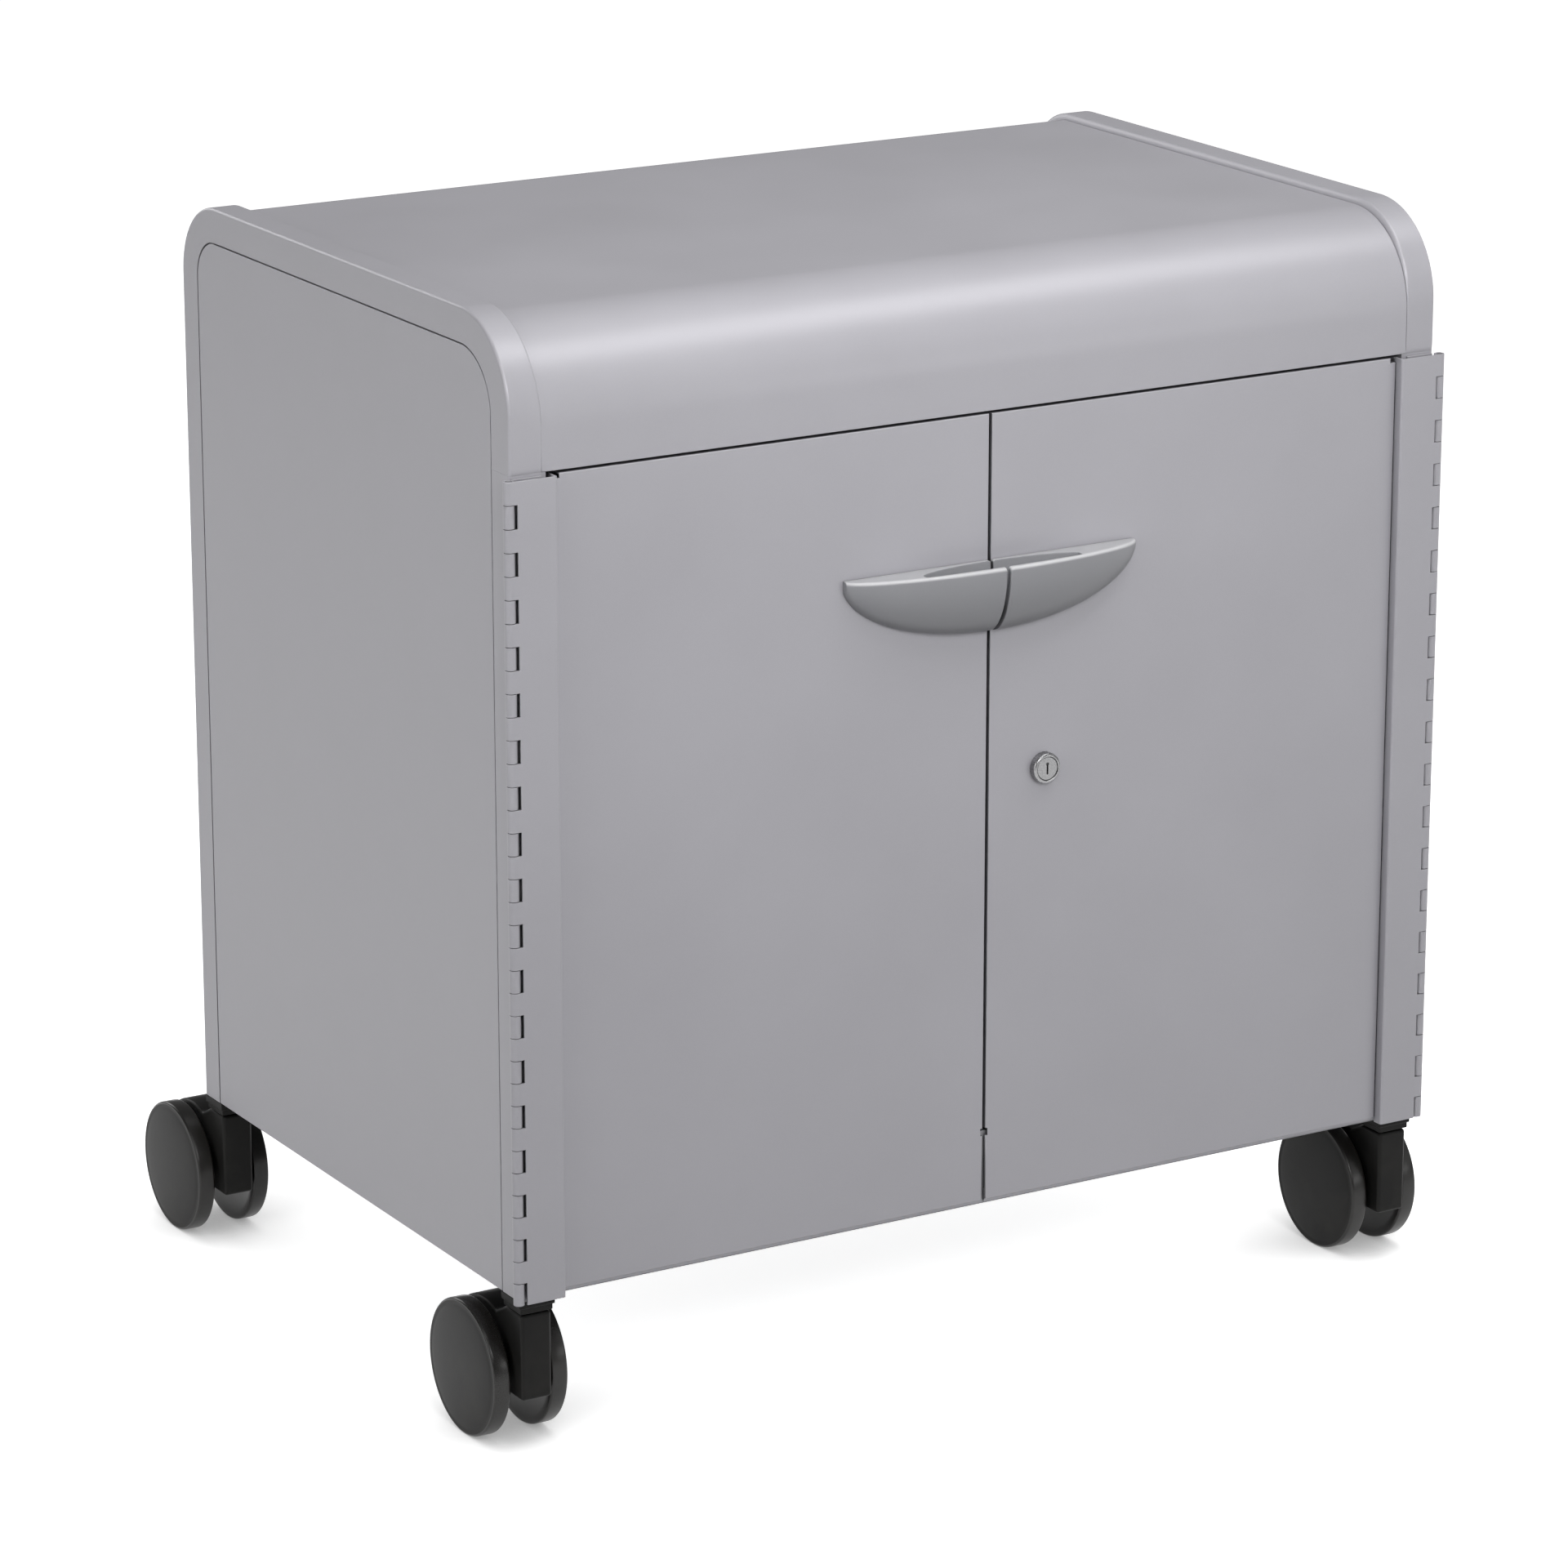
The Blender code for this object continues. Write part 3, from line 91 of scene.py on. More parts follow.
# Doors and hinges
DOOR_TOP = HEADER_BOTTOM - 0.002
HINGE_SHEET = 0.0015
BARREL_RADIUS = 0.0039
PIN_RADIUS = 0.0019
PIN_TIP_SHARE = 0.8
PIN_SIDES = 32
AXIS_OUTSIDE = 0.0026
AXIS_FORWARD = 0.00375
KNUCKLE_PAIRS = 18
KNUCKLE_PLAY = 0.0004
KNUCKLE_SLOT = 0.0009
KNUCKLE_STEPS = 22
ROLL_SWEEP = math.radians(290.0)
STRIP_WIDTH = 0.0328
STRIP_FOLD_RADIUS = 0.0020
STRIP_FOLD_STEPS = 6
STEP_WALL_DEPTH = 0.014
DECK_RELIEF_TOP = 0.174
BODY_LEAF_REACH = 0.024

# Pulls
DOOR_MEETING_EDGE = 0.00115
PULL_HALF_LENGTH = 0.122
PULL_PROJECTION = 0.0265
PULL_HEIGHT = 0.051
PULL_TOP = 0.599
PULL_POCKET_LENGTH = 0.066
PULL_POCKET_DEPTH = 0.036
PULL_WALL = 0.0035
PULL_BACK_WALL = 0.003
PULL_POCKET_END = 0.0185
PULL_STATIONS = 30
PULL_ROUND_STEPS = 18
PULL_LIP_RADIUS = 0.0030
PULL_LIP_SHARE = 0.6
PULL_LIP_STEPS = 7
PULL_END_RADIUS = 0.0020
PULL_END_STEPS = 5
PULL_SEAM_FLARE = 0.0010
PULL_TIP_SHARE = 0.985
POCKET_END_SHARE = 0.98
POCKET_TIP_SHARE = 0.25
POCKET_STATIONS = 18

# Lock
LOCK_OFFSET = 0.047
LOCK_HEIGHT = 0.440
LOCK_RING_RADIUS = 0.0113
LOCK_RING_BEVEL = 0.0021
LOCK_RING_STEPS = 6
LOCK_PROJECTION = 0.0064
LOCK_BARREL_RADIUS = 0.0098
LOCK_BORE_RADIUS = 0.0088
LOCK_PLUG_RADIUS = 0.0085
LOCK_PLUG_INSET = 0.0006
LOCK_BARREL_END = 0.0195
LOCK_SIDES = 72
KEYHOLE_WIDTH = 0.0014
KEYHOLE_HEIGHT = 0.0085
KEYHOLE_DEPTH = 0.004
KEYHOLE_EYE_RADIUS = 0.0012
KEYHOLE_EYE_RISE = 0.0034
KEYHOLE_EYE_SIDES = 24
CAM_TAIL_HALF = 0.003
CAM_STANDOFF = 0.001

# Trays
TRAY_ROWS = 5
TRAY_WIDTH = 0.312
TRAY_DEPTH = 0.427
TRAY_HEIGHT = 0.075
TRAY_WALL = 0.002
TRAY_RIM = 0.009
TRAY_RIM_THICKNESS = 0.003
TRAY_TAPER = 0.006
TRAY_CORNER = 0.020
TRAY_CORNER_STEPS = 9
TRAY_CENTRE = 0.1935
TRAY_BACK = 0.490
TRAY_PITCH = 0.102
TRAY_FIRST_BOTTOM = 0.182
GRIP_WIDTH = 0.120
GRIP_DROP = 0.022
GRIP_THICKNESS = 0.002
TRAY_RIB_COUNT = 9
TRAY_RIB_STEP = 0.042
TRAY_RIB_WIDTH = 0.004
TRAY_RIB_HEIGHT = 0.0005

# Casters
WHEEL_RADIUS = 0.050
WHEEL_SIDES = 112
WHEEL_RIM_OUTER = 0.0292
WHEEL_RIM_INNER = 0.0162
WHEEL_DOME = 0.0022
WHEEL_DOME_STEPS = 10
WHEEL_DOME_POWER = 1.4
WHEEL_EDGE = 0.0018
WHEEL_EDGE_STEPS = 4
WHEEL_HUB_RADIUS = 0.011
WHEEL_HUB_FACE = 0.0135
WHEEL_DISH = 0.0172
WHEEL_DISH_RADIUS = 0.040
WHEEL_BORE_DEPTH = 0.0250
AXLE_RADIUS = 0.0038
STEM_INSET = 0.014
STEM_RADIUS = 0.0055
STEM_SIDES = 40
STEM_TOP = 0.132
CASTER_TRAIL = 0.046
HOUSING_WIDTH = 0.024
HOUSING_EDGE = 0.0045
HOUSING_FRONT = 0.012
HOUSING_BLOCK_BOTTOM = 0.040
HOUSING_TOP = 0.1045
HOUSING_BLOCK_DEPTH = 0.022
HOOD_DROP = 0.0004
HOOD_STEPS = 28
HOOD_START = math.radians(112.0)
HOOD_END = math.radians(-8.0)
HUB_WEB_RADIUS = 0.018
HUB_WEB_START = math.radians(-40.0)
HUB_WEB_END = math.radians(-140.0)
HUB_WEB_STEPS = 12

# Back screws; the dome is in shares of height and radius
SCREW_RADIUS = 0.0034
SCREW_HEIGHT = 0.0014
SCREW_SIDES = 20
SCREW_DOME = ((0.0, 1.0), (0.4, 1.0), (0.8, 0.75), (1.0, 0.35))
BACK_SCREW_COUNT = 6
BACK_SCREW_STEP = 0.104
BACK_SCREW_START = 0.150
BACK_SCREW_EDGE = 0.0305

# Softened edges of folded sheet
FOLD_EDGE = 0.00045
PLASTIC_EDGE = 0.0015
EDGE_SEGMENTS = 3
CURVE_SEGMENTS = 2
SMOOTH_ANGLE = math.radians(40.0)
BEVEL_ANGLE = math.radians(28.0)
DISSOLVE_ANGLE = math.radians(0.5)
DOOR_BEND = 0.0018
DOOR_BEND_LENGTH = 0.05
DOOR_HEM_HEIGHT = 0.0022
DOOR_HEM_DEPTH = 0.0009

SHELL_EDGE = RIM_FLAT + SHOULDER_WIDTH
LIP_FACE = SIDE_PANEL_THICKNESS + SEAT_GAP
HINGE_AXIS_X = HALF_WIDTH + AXIS_OUTSIDE
FACE_RADIUS = WHEEL_RADIUS - 1.5 * WHEEL_EDGE
POST_FACE = BARREL_RADIUS - AXIS_FORWARD + SEAT_GAP
PART_FRONT = -PULL_PROJECTION - SEAT_GAP
PART_BACK = BODY_DEPTH - STEM_INSET + CASTER_TRAIL + WHEEL_RADIUS
FRONT_PLANE_Y = -(PART_FRONT + PART_BACK) / 2.0
SIDES = (("left", -1.0), ("right", 1.0))

# Camera, fitted to the photo's edges, as a plain tilted view in cabinet coordinates
CAMERA_PLACE = (-2.26756, -3.55374, 1.69111)
CAMERA_TURN = math.radians(30.5774)
CAMERA_TILT = math.radians(16.6117)
CAMERA_LENS = 142.118
CAMERA_SENSOR = 36.0

# Finishes
TONE_RANGE = (0.35, 0.65)
COAT_RELIEF = 0.0003
LINE_RELIEF = 0.0001
LINE_BUMP = 0.12
WORN_SHARE = 0.55
METAL_WORN_SHARE = 0.5
METAL_WORN_RADIUS = 0.0004
DUST = (0.34, 0.32, 0.29)
DUST_ROUGHNESS = 0.4
GAP_SHADE = 0.06

# Floor and light
FLOOR_REACH = 14.0
FLOOR_THICKNESS = 0.02
FLOOR_GLOW = 0.80
FLOOR_SHADOW_REACH = 0.10
FLOOR_SHADOW_DEPTH = 0.30
FLOOR_DULL = ((0.10, 0.10, 0.10), (0.13, 0.13, 0.13))
FLOOR_PALE = ((0.0, 0.0, 0.0), (0.92, 0.92, 0.92))
WORLD_LIGHT = 0.22

# Name, place, target, size, power and beam of each lamp
LAMPS = (
    ("front_softbox", (-0.6, -2.6, 1.9), (0.0, -0.28, 0.90), (1.6, 0.8), 4.8, math.radians(50.0)),
    ("side_softbox", (-3.0, -0.8, 1.4), (-0.3, 0.0, 0.45), (1.8, 1.8), 29.5, math.pi),
    ("top_softbox", (0.2, 0.0, 3.0), (0.0, 0.0, 0.8), (1.8, 1.8), 9.0, math.pi),
    ("right_softbox", (2.6, -2.6, 1.9), (0.0, -0.28, 0.8), (1.8, 1.8), 9.5, math.pi),
    ("edge_softbox", (0.3, -0.9, 2.2), (0.0, -0.28, 0.72), (2.2, 0.6), 17.5, math.pi),
    ("back_softbox", (-0.9, 3.3, 1.7), (0.0, 0.22, 0.45), (1.8, 1.8), 32.0, math.pi),
    ("far_side_softbox", (3.0, 0.3, 1.4), (0.3, 0.0, 0.45), (1.8, 1.8), 22.0, math.pi),
    ("low_softbox", (1.45, -2.6, 0.68), (-0.05, -0.28, 0.05), (1.1, 0.35), 0.75, math.radians(60.0)),
)


# Shader groups and finishes

def link_in(tree, node, socket, value):
    if isinstance(value, bpy.types.NodeSocket):
        tree.links.new(value, node.inputs[socket])
    else:
        node.inputs[socket].default_value = value


def add_node(tree, kind, inputs=None, **settings):
    node = tree.nodes.new(kind)
    for key, value in settings.items():
        setattr(node, key, value)
    for socket, value in (inputs or {}).items():
        link_in(tree, node, socket, value)
    return node


def start_group(name, inputs, *outputs):
    """A shader group: a triple makes a vector input, and every output is a number."""
    tree = bpy.data.node_groups.new(name, "ShaderNodeTree")
    for label, value in inputs.items():
        kind = "NodeSocketVector" if isinstance(value, tuple) else "NodeSocketFloat"
        tree.interface.new_socket(label, in_out="INPUT", socket_type=kind).default_value = value
    for label in outputs:
        tree.interface.new_socket(label, in_out="OUTPUT", socket_type="NodeSocketFloat")
    return tree, tree.nodes.new("NodeGroupInput"), tree.nodes.new("NodeGroupOutput")


def noise(tree, place, scale, detail=2.0):
    inputs = {"Vector": place, "Scale": scale, "Detail": detail}
    return add_node(tree, "ShaderNodeTexNoise", inputs).outputs["Fac"]


def spread(tree, value, low, high, new_low=0.0, new_high=1.0):
    inputs = {"Value": value, "From Min": low, "From Max": high, "To Min": new_low, "To Max": new_high}
    return add_node(tree, "ShaderNodeMapRange", inputs).outputs["Result"]


def sum_of(tree, first, second, operation="ADD"):
    return add_node(tree, "ShaderNodeMath", {0: first, 1: second}, operation=operation).outputs[0]


def grain_group():
    """Orange peel and speck of a coating: a fine height, and a tone that drifts over the surface."""
    inputs = {"Peel Scale": 700.0, "Speck Scale": 2600.0, "Drift Scale": 7.0}
    tree, given, out = start_group("coating_grain", inputs, "Height", "Tone")
    place = add_node(tree, "ShaderNodeTexCoord").outputs["Object"]
    peel = noise(tree, place, given.outputs["Peel Scale"], 3.0)
    speck = noise(tree, place, given.outputs["Speck Scale"], 1.0)
    drift = noise(tree, place, given.outputs["Drift Scale"], 4.0)
    height = sum_of(tree, sum_of(tree, peel, 0.7, "MULTIPLY"), sum_of(tree, speck, 0.3, "MULTIPLY"))
    tone = sum_of(tree, sum_of(tree, drift, 0.65, "MULTIPLY"), sum_of(tree, speck, 0.35, "MULTIPLY"))
    tree.links.new(height, out.inputs["Height"])
    tree.links.new(tone, out.inputs["Tone"])
    return tree


def wear_group():
    """A mask that is 1 along worn edges and broken up by a noise."""
    tree, given, out = start_group("edge_wear", {"Radius": 0.0012, "Break Up": 90.0}, "Mask")
    soft = add_node(tree, "ShaderNodeBevel", {"Radius": given.outputs["Radius"]}, samples=4)
    plain = add_node(tree, "ShaderNodeNewGeometry")
    vectors = {0: soft.outputs["Normal"], 1: plain.outputs["Normal"]}
    facing = add_node(tree, "ShaderNodeVectorMath", vectors, operation="DOT_PRODUCT").outputs["Value"]
    edge = spread(tree, facing, 0.995, 0.86)
    place = add_node(tree, "ShaderNodeTexCoord").outputs["Object"]
    broken = spread(tree, noise(tree, place, given.outputs["Break Up"], 5.0), 0.42, 0.62)
    tree.links.new(sum_of(tree, edge, broken, "MULTIPLY"), out.inputs["Mask"])
    return tree


def dust_group():
    """A mask of floor dust: full at the floor and gone above a height, in soft patches."""
    tree, given, out = start_group("floor_dust", {"Reach": 0.12, "Patch Scale": 28.0}, "Mask")
    place = add_node(tree, "ShaderNodeTexCoord").outputs["Object"]
    height = add_node(tree, "ShaderNodeSeparateXYZ", {"Vector": place}).outputs["Z"]
    low = spread(tree, height, given.outputs["Reach"], 0.0)
    patches = spread(tree, noise(tree, place, given.outputs["Patch Scale"], 6.0), 0.40, 0.70)
    tree.links.new(sum_of(tree, low, patches, "MULTIPLY"), out.inputs["Mask"])
    return tree


def painted_crevice_shade_group():
    """A mask of painted shade: 1 in slots, gaps and corners, where little light gets in, taken from ambient
    occlusion.
    """
    tree, given, out = start_group("painted_crevice_shade", {"Reach": 0.010}, "Mask")
    near = add_node(tree, "ShaderNodeAmbientOcclusion", {"Distance": given.outputs["Reach"]}, samples=6)
    tree.links.new(spread(tree, near.outputs["AO"], 0.55, 0.12), out.inputs["Mask"])
    return tree


def painted_lip_highlight_group():
    """A mask of painted highlight: 1 on rounded lips that face up and forward and about half on tops, where the
    overhead light falls, in soft patches.
    """
    tree, given, out = start_group("painted_lip_highlight", {"Amount": 0.8, "Patch Scale": 60.0}, "Mask")
    normal = add_node(tree, "ShaderNodeNewGeometry").outputs["Normal"]
    lean = add_node(tree, "ShaderNodeSeparateXYZ", {"Vector": normal}).outputs["Z"]
    lip = sum_of(tree, spread(tree, lean, 0.12, 0.55), spread(tree, lean, 0.98, 0.80, 0.55, 1.0), "MULTIPLY")
    place = add_node(tree, "ShaderNodeTexCoord").outputs["Object"]
    patches = spread(tree, noise(tree, place, given.outputs["Patch Scale"], 3.0), 0.3, 0.6, 0.85, 1.0)
    amount = sum_of(tree, given.outputs["Amount"], patches, "MULTIPLY")
    tree.links.new(sum_of(tree, lip, amount, "MULTIPLY"), out.inputs["Mask"])
    return tree


def brushed_group():
    """Fine lines drawn along one axis by the stretch."""
    inputs = {"Stretch": (1.0, 1.0, 1.0), "Line Scale": 900.0}
    tree, given, out = start_group("brushed_lines", inputs, "Height", "Tone")
    place = add_node(tree, "ShaderNodeTexCoord").outputs["Object"]
    vectors = {0: place, 1: given.outputs["Stretch"]}
    drawn = add_node(tree, "ShaderNodeVectorMath", vectors, operation="MULTIPLY").outputs["Vector"]
    lines = noise(tree, drawn, given.outputs["Line Scale"], 3.0)
    tree.links.new(lines, out.inputs["Height"])
    tree.links.new(spread(tree, lines, 0.3, 0.7), out.inputs["Tone"])
    return tree


GROUPS = {}


def placed(tree, name, **values):
    node = tree.nodes.new("ShaderNodeGroup")
    node.node_tree = GROUPS[name]
    for label, value in values.items():
        node.inputs[label.replace("_", " ")].default_value = value
    return node


def blend_colour(tree, factor, first, second):
    """Mixes two colours; each is an RGB triple or a socket."""
    node = add_node(tree, "ShaderNodeMix", {"Factor": factor}, data_type="RGBA")
    for index, value in ((6, first), (7, second)):
        if isinstance(value, bpy.types.NodeSocket):
            tree.links.new(value, node.inputs[index])
        else:
            node.inputs[index].default_value = (*value, 1.0)
    return node.outputs[2]


def new_finish(name):
    material = bpy.data.materials.new(name)
    material.use_nodes = True
    return material, material.node_tree


def link_finish(tree, colour, roughness, relief, metallic):
    shader = tree.nodes["Principled BSDF"]
    link_in(tree, shader, "Base Color", colour)
    link_in(tree, shader, "Roughness", roughness)
    link_in(tree, shader, "Normal", relief.outputs["Normal"])
    link_in(tree, shader, "Metallic", metallic)
    return shader


def coated(
    name, dark, light, rough, metallic=0.0, bump=0.1, peel=700.0, worn=None, dusty=0.0, shine=0.5,
    round_edge=0.0, gaps=0.9, lip_highlight=None,
):
    """A coated or moulded finish: drifting tone, grain in the bump, lighter edges, dust low down, a painted highlight
    on upper lips when one is given, and painted shade in crevices.
    """
    material, tree = new_finish(name)
    grain = placed(tree, "coating_grain", Peel_Scale=peel)
    tone = spread(tree, grain.outputs["Tone"], *TONE_RANGE)
    colour = blend_colour(tree, tone, dark, light)
    roughness = spread(tree, grain.outputs["Tone"], *TONE_RANGE, *rough)
    if worn:
        edge = placed(tree, "edge_wear").outputs["Mask"]
        colour = blend_colour(tree, sum_of(tree, edge, WORN_SHARE, "MULTIPLY"), colour, worn)
    if dusty:
        dust = sum_of(tree, placed(tree, "floor_dust").outputs["Mask"], dusty, "MULTIPLY")
        colour = blend_colour(tree, dust, colour, DUST)
        roughness = sum_of(tree, roughness, sum_of(tree, dust, DUST_ROUGHNESS, "MULTIPLY"))
    # Painted highlight: a lighter colour on upward-facing lips and tops.
    if lip_highlight:
        lean = placed(tree, "painted_lip_highlight").outputs["Mask"]
        colour = blend_colour(tree, lean, colour, lip_highlight)
    # Painted shade: the colour goes darker in slots, gaps and corners, where little light reaches.
    crevice_shade = placed(tree, "painted_crevice_shade").outputs["Mask"]
    shade = tuple(GAP_SHADE * part for part in dark)
    colour = blend_colour(tree, sum_of(tree, crevice_shade, gaps, "MULTIPLY"), colour, shade)
    inputs = {"Strength": bump, "Distance": COAT_RELIEF, "Height": grain.outputs["Height"]}
    relief = add_node(tree, "ShaderNodeBump", inputs)
    if round_edge:
        soft = add_node(tree, "ShaderNodeBevel", {"Radius": round_edge}, samples=6)
        tree.links.new(soft.outputs["Normal"], relief.inputs["Normal"])
    shader = link_finish(tree, colour, roughness, relief, metallic)
    link_in(tree, shader, "Specular IOR Level", shine)
    return material


def drawn_metal(name, dark, light, rough, stretch, scale=900.0):
    """Bare or plated metal with drawn lines."""
    material, tree = new_finish(name)
    lines = placed(tree, "brushed_lines", Stretch=stretch, Line_Scale=scale)
    colour = blend_colour(tree, lines.outputs["Tone"], dark, light)
    edge = placed(tree, "edge_wear", Radius=METAL_WORN_RADIUS).outputs["Mask"]
    colour = blend_colour(tree, sum_of(tree, edge, METAL_WORN_SHARE, "MULTIPLY"), colour, light)
    roughness = spread(tree, lines.outputs["Tone"], 0.0, 1.0, *rough)
    inputs = {"Strength": LINE_BUMP, "Distance": LINE_RELIEF, "Height": lines.outputs["Height"]}
    relief = add_node(tree, "ShaderNodeBump", inputs)
    link_finish(tree, colour, roughness, relief, 0.95)
    return material


def make_finishes():
    for make_group in (grain_group, wear_group, dust_group, brushed_group, painted_crevice_shade_group, painted_lip_highlight_group):
        tree = make_group()
        GROUPS[tree.name] = tree
    silver = {"dark": (0.358, 0.352, 0.380), "light": (0.386, 0.380, 0.410), "rough": (0.36, 0.42), "metallic": 0.12}
    silver |= {"bump": 0.08, "worn": (0.50, 0.50, 0.52), "dusty": 0.25}
    return {
        "paint": coated("silver_powder_coat", **silver),
        "frame": coated("silver_powder_coat_frame", gaps=0.4, **silver),
        "inside": coated(
            "inner_powder_coat", (0.315, 0.317, 0.335), (0.355, 0.357, 0.375), (0.46, 0.54), 0.15,
            bump=0.12, worn=(0.46, 0.46, 0.48), dusty=0.3,
        ),
        "pull": coated(
            "pull_lacquer", (0.255, 0.257, 0.272), (0.285, 0.287, 0.303), (0.28, 0.34),
            # The lighter colour on the pull's upper lip and top is a painted highlight.
            bump=0.04, peel=500.0, worn=(0.46, 0.46, 0.48), shine=0.25, round_edge=0.0013, lip_highlight=(0.60, 0.60, 0.61),
        ),
        "steel": drawn_metal("zinc_plate", (0.34, 0.34, 0.35), (0.47, 0.47, 0.48), (0.28, 0.40), (1.0, 1.0, 0.03)),
        "lock": drawn_metal("satin_nickel", (0.23, 0.23, 0.235), (0.31, 0.31, 0.315), (0.24, 0.34), (1.0, 0.05, 1.0)),
        "magnet": coated(
            "catch_shell", (0.085, 0.085, 0.092), (0.115, 0.115, 0.124), (0.48, 0.56), bump=0.25, peel=1400.0,
        ),
        "black": coated(
            "caster_nylon", (0.0065, 0.0065, 0.0063), (0.0105, 0.0103, 0.0098), (0.42, 0.50),
            bump=0.1, peel=1500.0, worn=(0.012, 0.012, 0.011), dusty=0.06, shine=0.12,
        ),
        "tread": coated(
            "wheel_tread", (0.0085, 0.0078, 0.0072), (0.0135, 0.0124, 0.0114), (0.26, 0.33),
            bump=0.02, peel=900.0, worn=(0.018, 0.017, 0.016), dusty=0.06, shine=0.35,
        ),
        "face": coated(
            "wheel_face", (0.0085, 0.0084, 0.0081), (0.0135, 0.0132, 0.0126), (0.42, 0.50),
            bump=0.12, peel=1500.0, worn=(0.020, 0.019, 0.018), dusty=0.06, shine=0.15,
        ),
        "tray": coated(
            "tray_moulding", (0.58, 0.62, 0.66), (0.66, 0.70, 0.74), (0.38, 0.46),
            bump=0.15, peel=1100.0, worn=(0.78, 0.81, 0.84),
        ),
    }


# Mesh helpers

def arc(centre, radius, start, end, steps):
    angles = [start + (end - start) * i / steps for i in range(steps + 1)]
    return [(centre[0] + radius * math.cos(a), centre[1] + radius * math.sin(a)) for a in angles]


def quarter_turns(steps):
    return [math.pi / 2.0 * i / steps for i in range(steps + 1)]


def bridge(shape, rings, hollow=False):
    """Joins rings of points with faces, with closed ends or as a closed ring."""
    pairs = list(zip(rings, rings[1:]))
    if hollow:
        pairs.append((rings[-1], rings[0]))
    for lower, upper in pairs:
        for i in range(len(lower)):
            j = (i + 1) % len(lower)
            shape.faces.new((lower[i], lower[j], upper[j], upper[i]))
    if not hollow:
        shape.faces.new(list(reversed(rings[0])))
        shape.faces.new(rings[-1])
    return shape


def add_loft(shape, loops):
    return bridge(shape, [[shape.verts.new(point) for point in loop] for loop in loops])


def prism_x(outline, start, end):
    return add_loft(bmesh.new(), [[Vector((x, y, z)) for y, z in outline] for x in (start, end)])


def prism_z(outline, start, end, shape=None):
    return add_loft(shape or bmesh.new(), [[Vector((x, y, z)) for x, y in outline] for z in (start, end)])


def box(low, high):
    outline = [(low[0], low[1]), (high[0], low[1]), (high[0], high[1]), (low[0], high[1])]
    return prism_z(outline, low[2], high[2])


def turned(profile, centre, axis, sides, hollow=False):
    """Revolves (distance along the axis, radius) points, with closed ends or as a closed ring."""
    shape = bmesh.new()
    direction = Vector(axis).normalized()
    along = Vector((0.0, 1.0, 0.0)) if abs(direction.z) > 0.5 else Vector((0.0, 0.0, 1.0))
    across = direction.cross(along)
    rings = []
    for step, radius in profile:
        middle = Vector(centre) + direction * step
        turns = [2.0 * math.pi * i / sides for i in range(sides)]
        rings.append([shape.verts.new(middle + radius * (math.cos(t) * across + math.sin(t) * along)) for t in turns])
    return bridge(shape, rings, hollow)


def object_of(name, shape, material):
    mesh = bpy.data.meshes.new(name)
    shape.to_mesh(mesh)
    shape.free()
    item = bpy.data.objects.new(name, mesh)
    bpy.context.scene.collection.objects.link(item)
    if material:
        mesh.materials.append(material)
    return item


def merge(shape):
    bmesh.ops.remove_doubles(shape, verts=shape.verts, dist=MERGE_DISTANCE)
    bmesh.ops.recalc_face_normals(shape, faces=shape.faces)


def new_object(name, shape, material):
    """Merges a shape drawn in cabinet coordinates and moves it into the frame's."""
    merge(shape)
    bmesh.ops.translate(shape, verts=shape.verts, vec=(0.0, FRONT_PLANE_Y, 0.0))
    return object_of(name, shape, material)


def settle(item):
    """Turns the evaluated shape into the item's plain mesh and drops its modifiers."""
    graph = bpy.context.evaluated_depsgraph_get()
    mesh = bpy.data.meshes.new_from_object(item.evaluated_get(graph), preserve_all_data_layers=True, depsgraph=graph)
    item.modifiers.clear()
    item.data = mesh
    return item


def soften(item, width, segments=EDGE_SEGMENTS, limit="ANGLE"):
    """Rounds the hard edges and keeps the broad faces flat in the shading."""
    item.data.shade_smooth()
    if width:
        edge = item.modifiers.new("edges", "BEVEL")
        edge.width = width
        edge.segments = segments
        edge.limit_method = limit
        edge.angle_limit = BEVEL_ANGLE
        edge.use_clamp_overlap = True
    else:
        item.data.set_sharp_from_angle(angle=SMOOTH_ANGLE)
    flat = item.modifiers.new("flat_faces", "WEIGHTED_NORMAL")
    flat.keep_sharp = True
    flat.weight = 100
    return settle(item)


def seat(item, body, material_slot, *nodes):
    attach(item, body)
    if nodes:
        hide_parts(*nodes)
    return item


def cut_with(item, helper):
    """Cuts a helper object from the item and removes the helper."""
    modifier = item.modifiers.new("cut", "BOOLEAN")
    modifier.operation = "DIFFERENCE"
    modifier.solver = "EXACT"
    modifier.object = helper
    settle(item)
    bpy.data.objects.remove(helper)
    return item


def cut(item, shape):
    return cut_with(item, new_object(f"{item.name}_helper", shape, None))


def merged_copy(mesh):
    shape = bmesh.new()
    shape.from_mesh(mesh)
    merge(shape)
    bmesh.ops.dissolve_limit(
        shape, angle_limit=DISSOLVE_ANGLE, verts=shape.verts, edges=shape.edges, use_dissolve_boundaries=False
    )
    return shape


def softened_node(node, body, material, material_slot, frame, width=FOLD_EDGE / 2.0):
    """A merged copy of a CAD node with rounded edges, which stands for it."""
    item = object_of(f"{node}_soft", merged_copy(frame["nodes"][node].data), material)
    soften(item, width)
    return seat(item, body, material_slot, node)


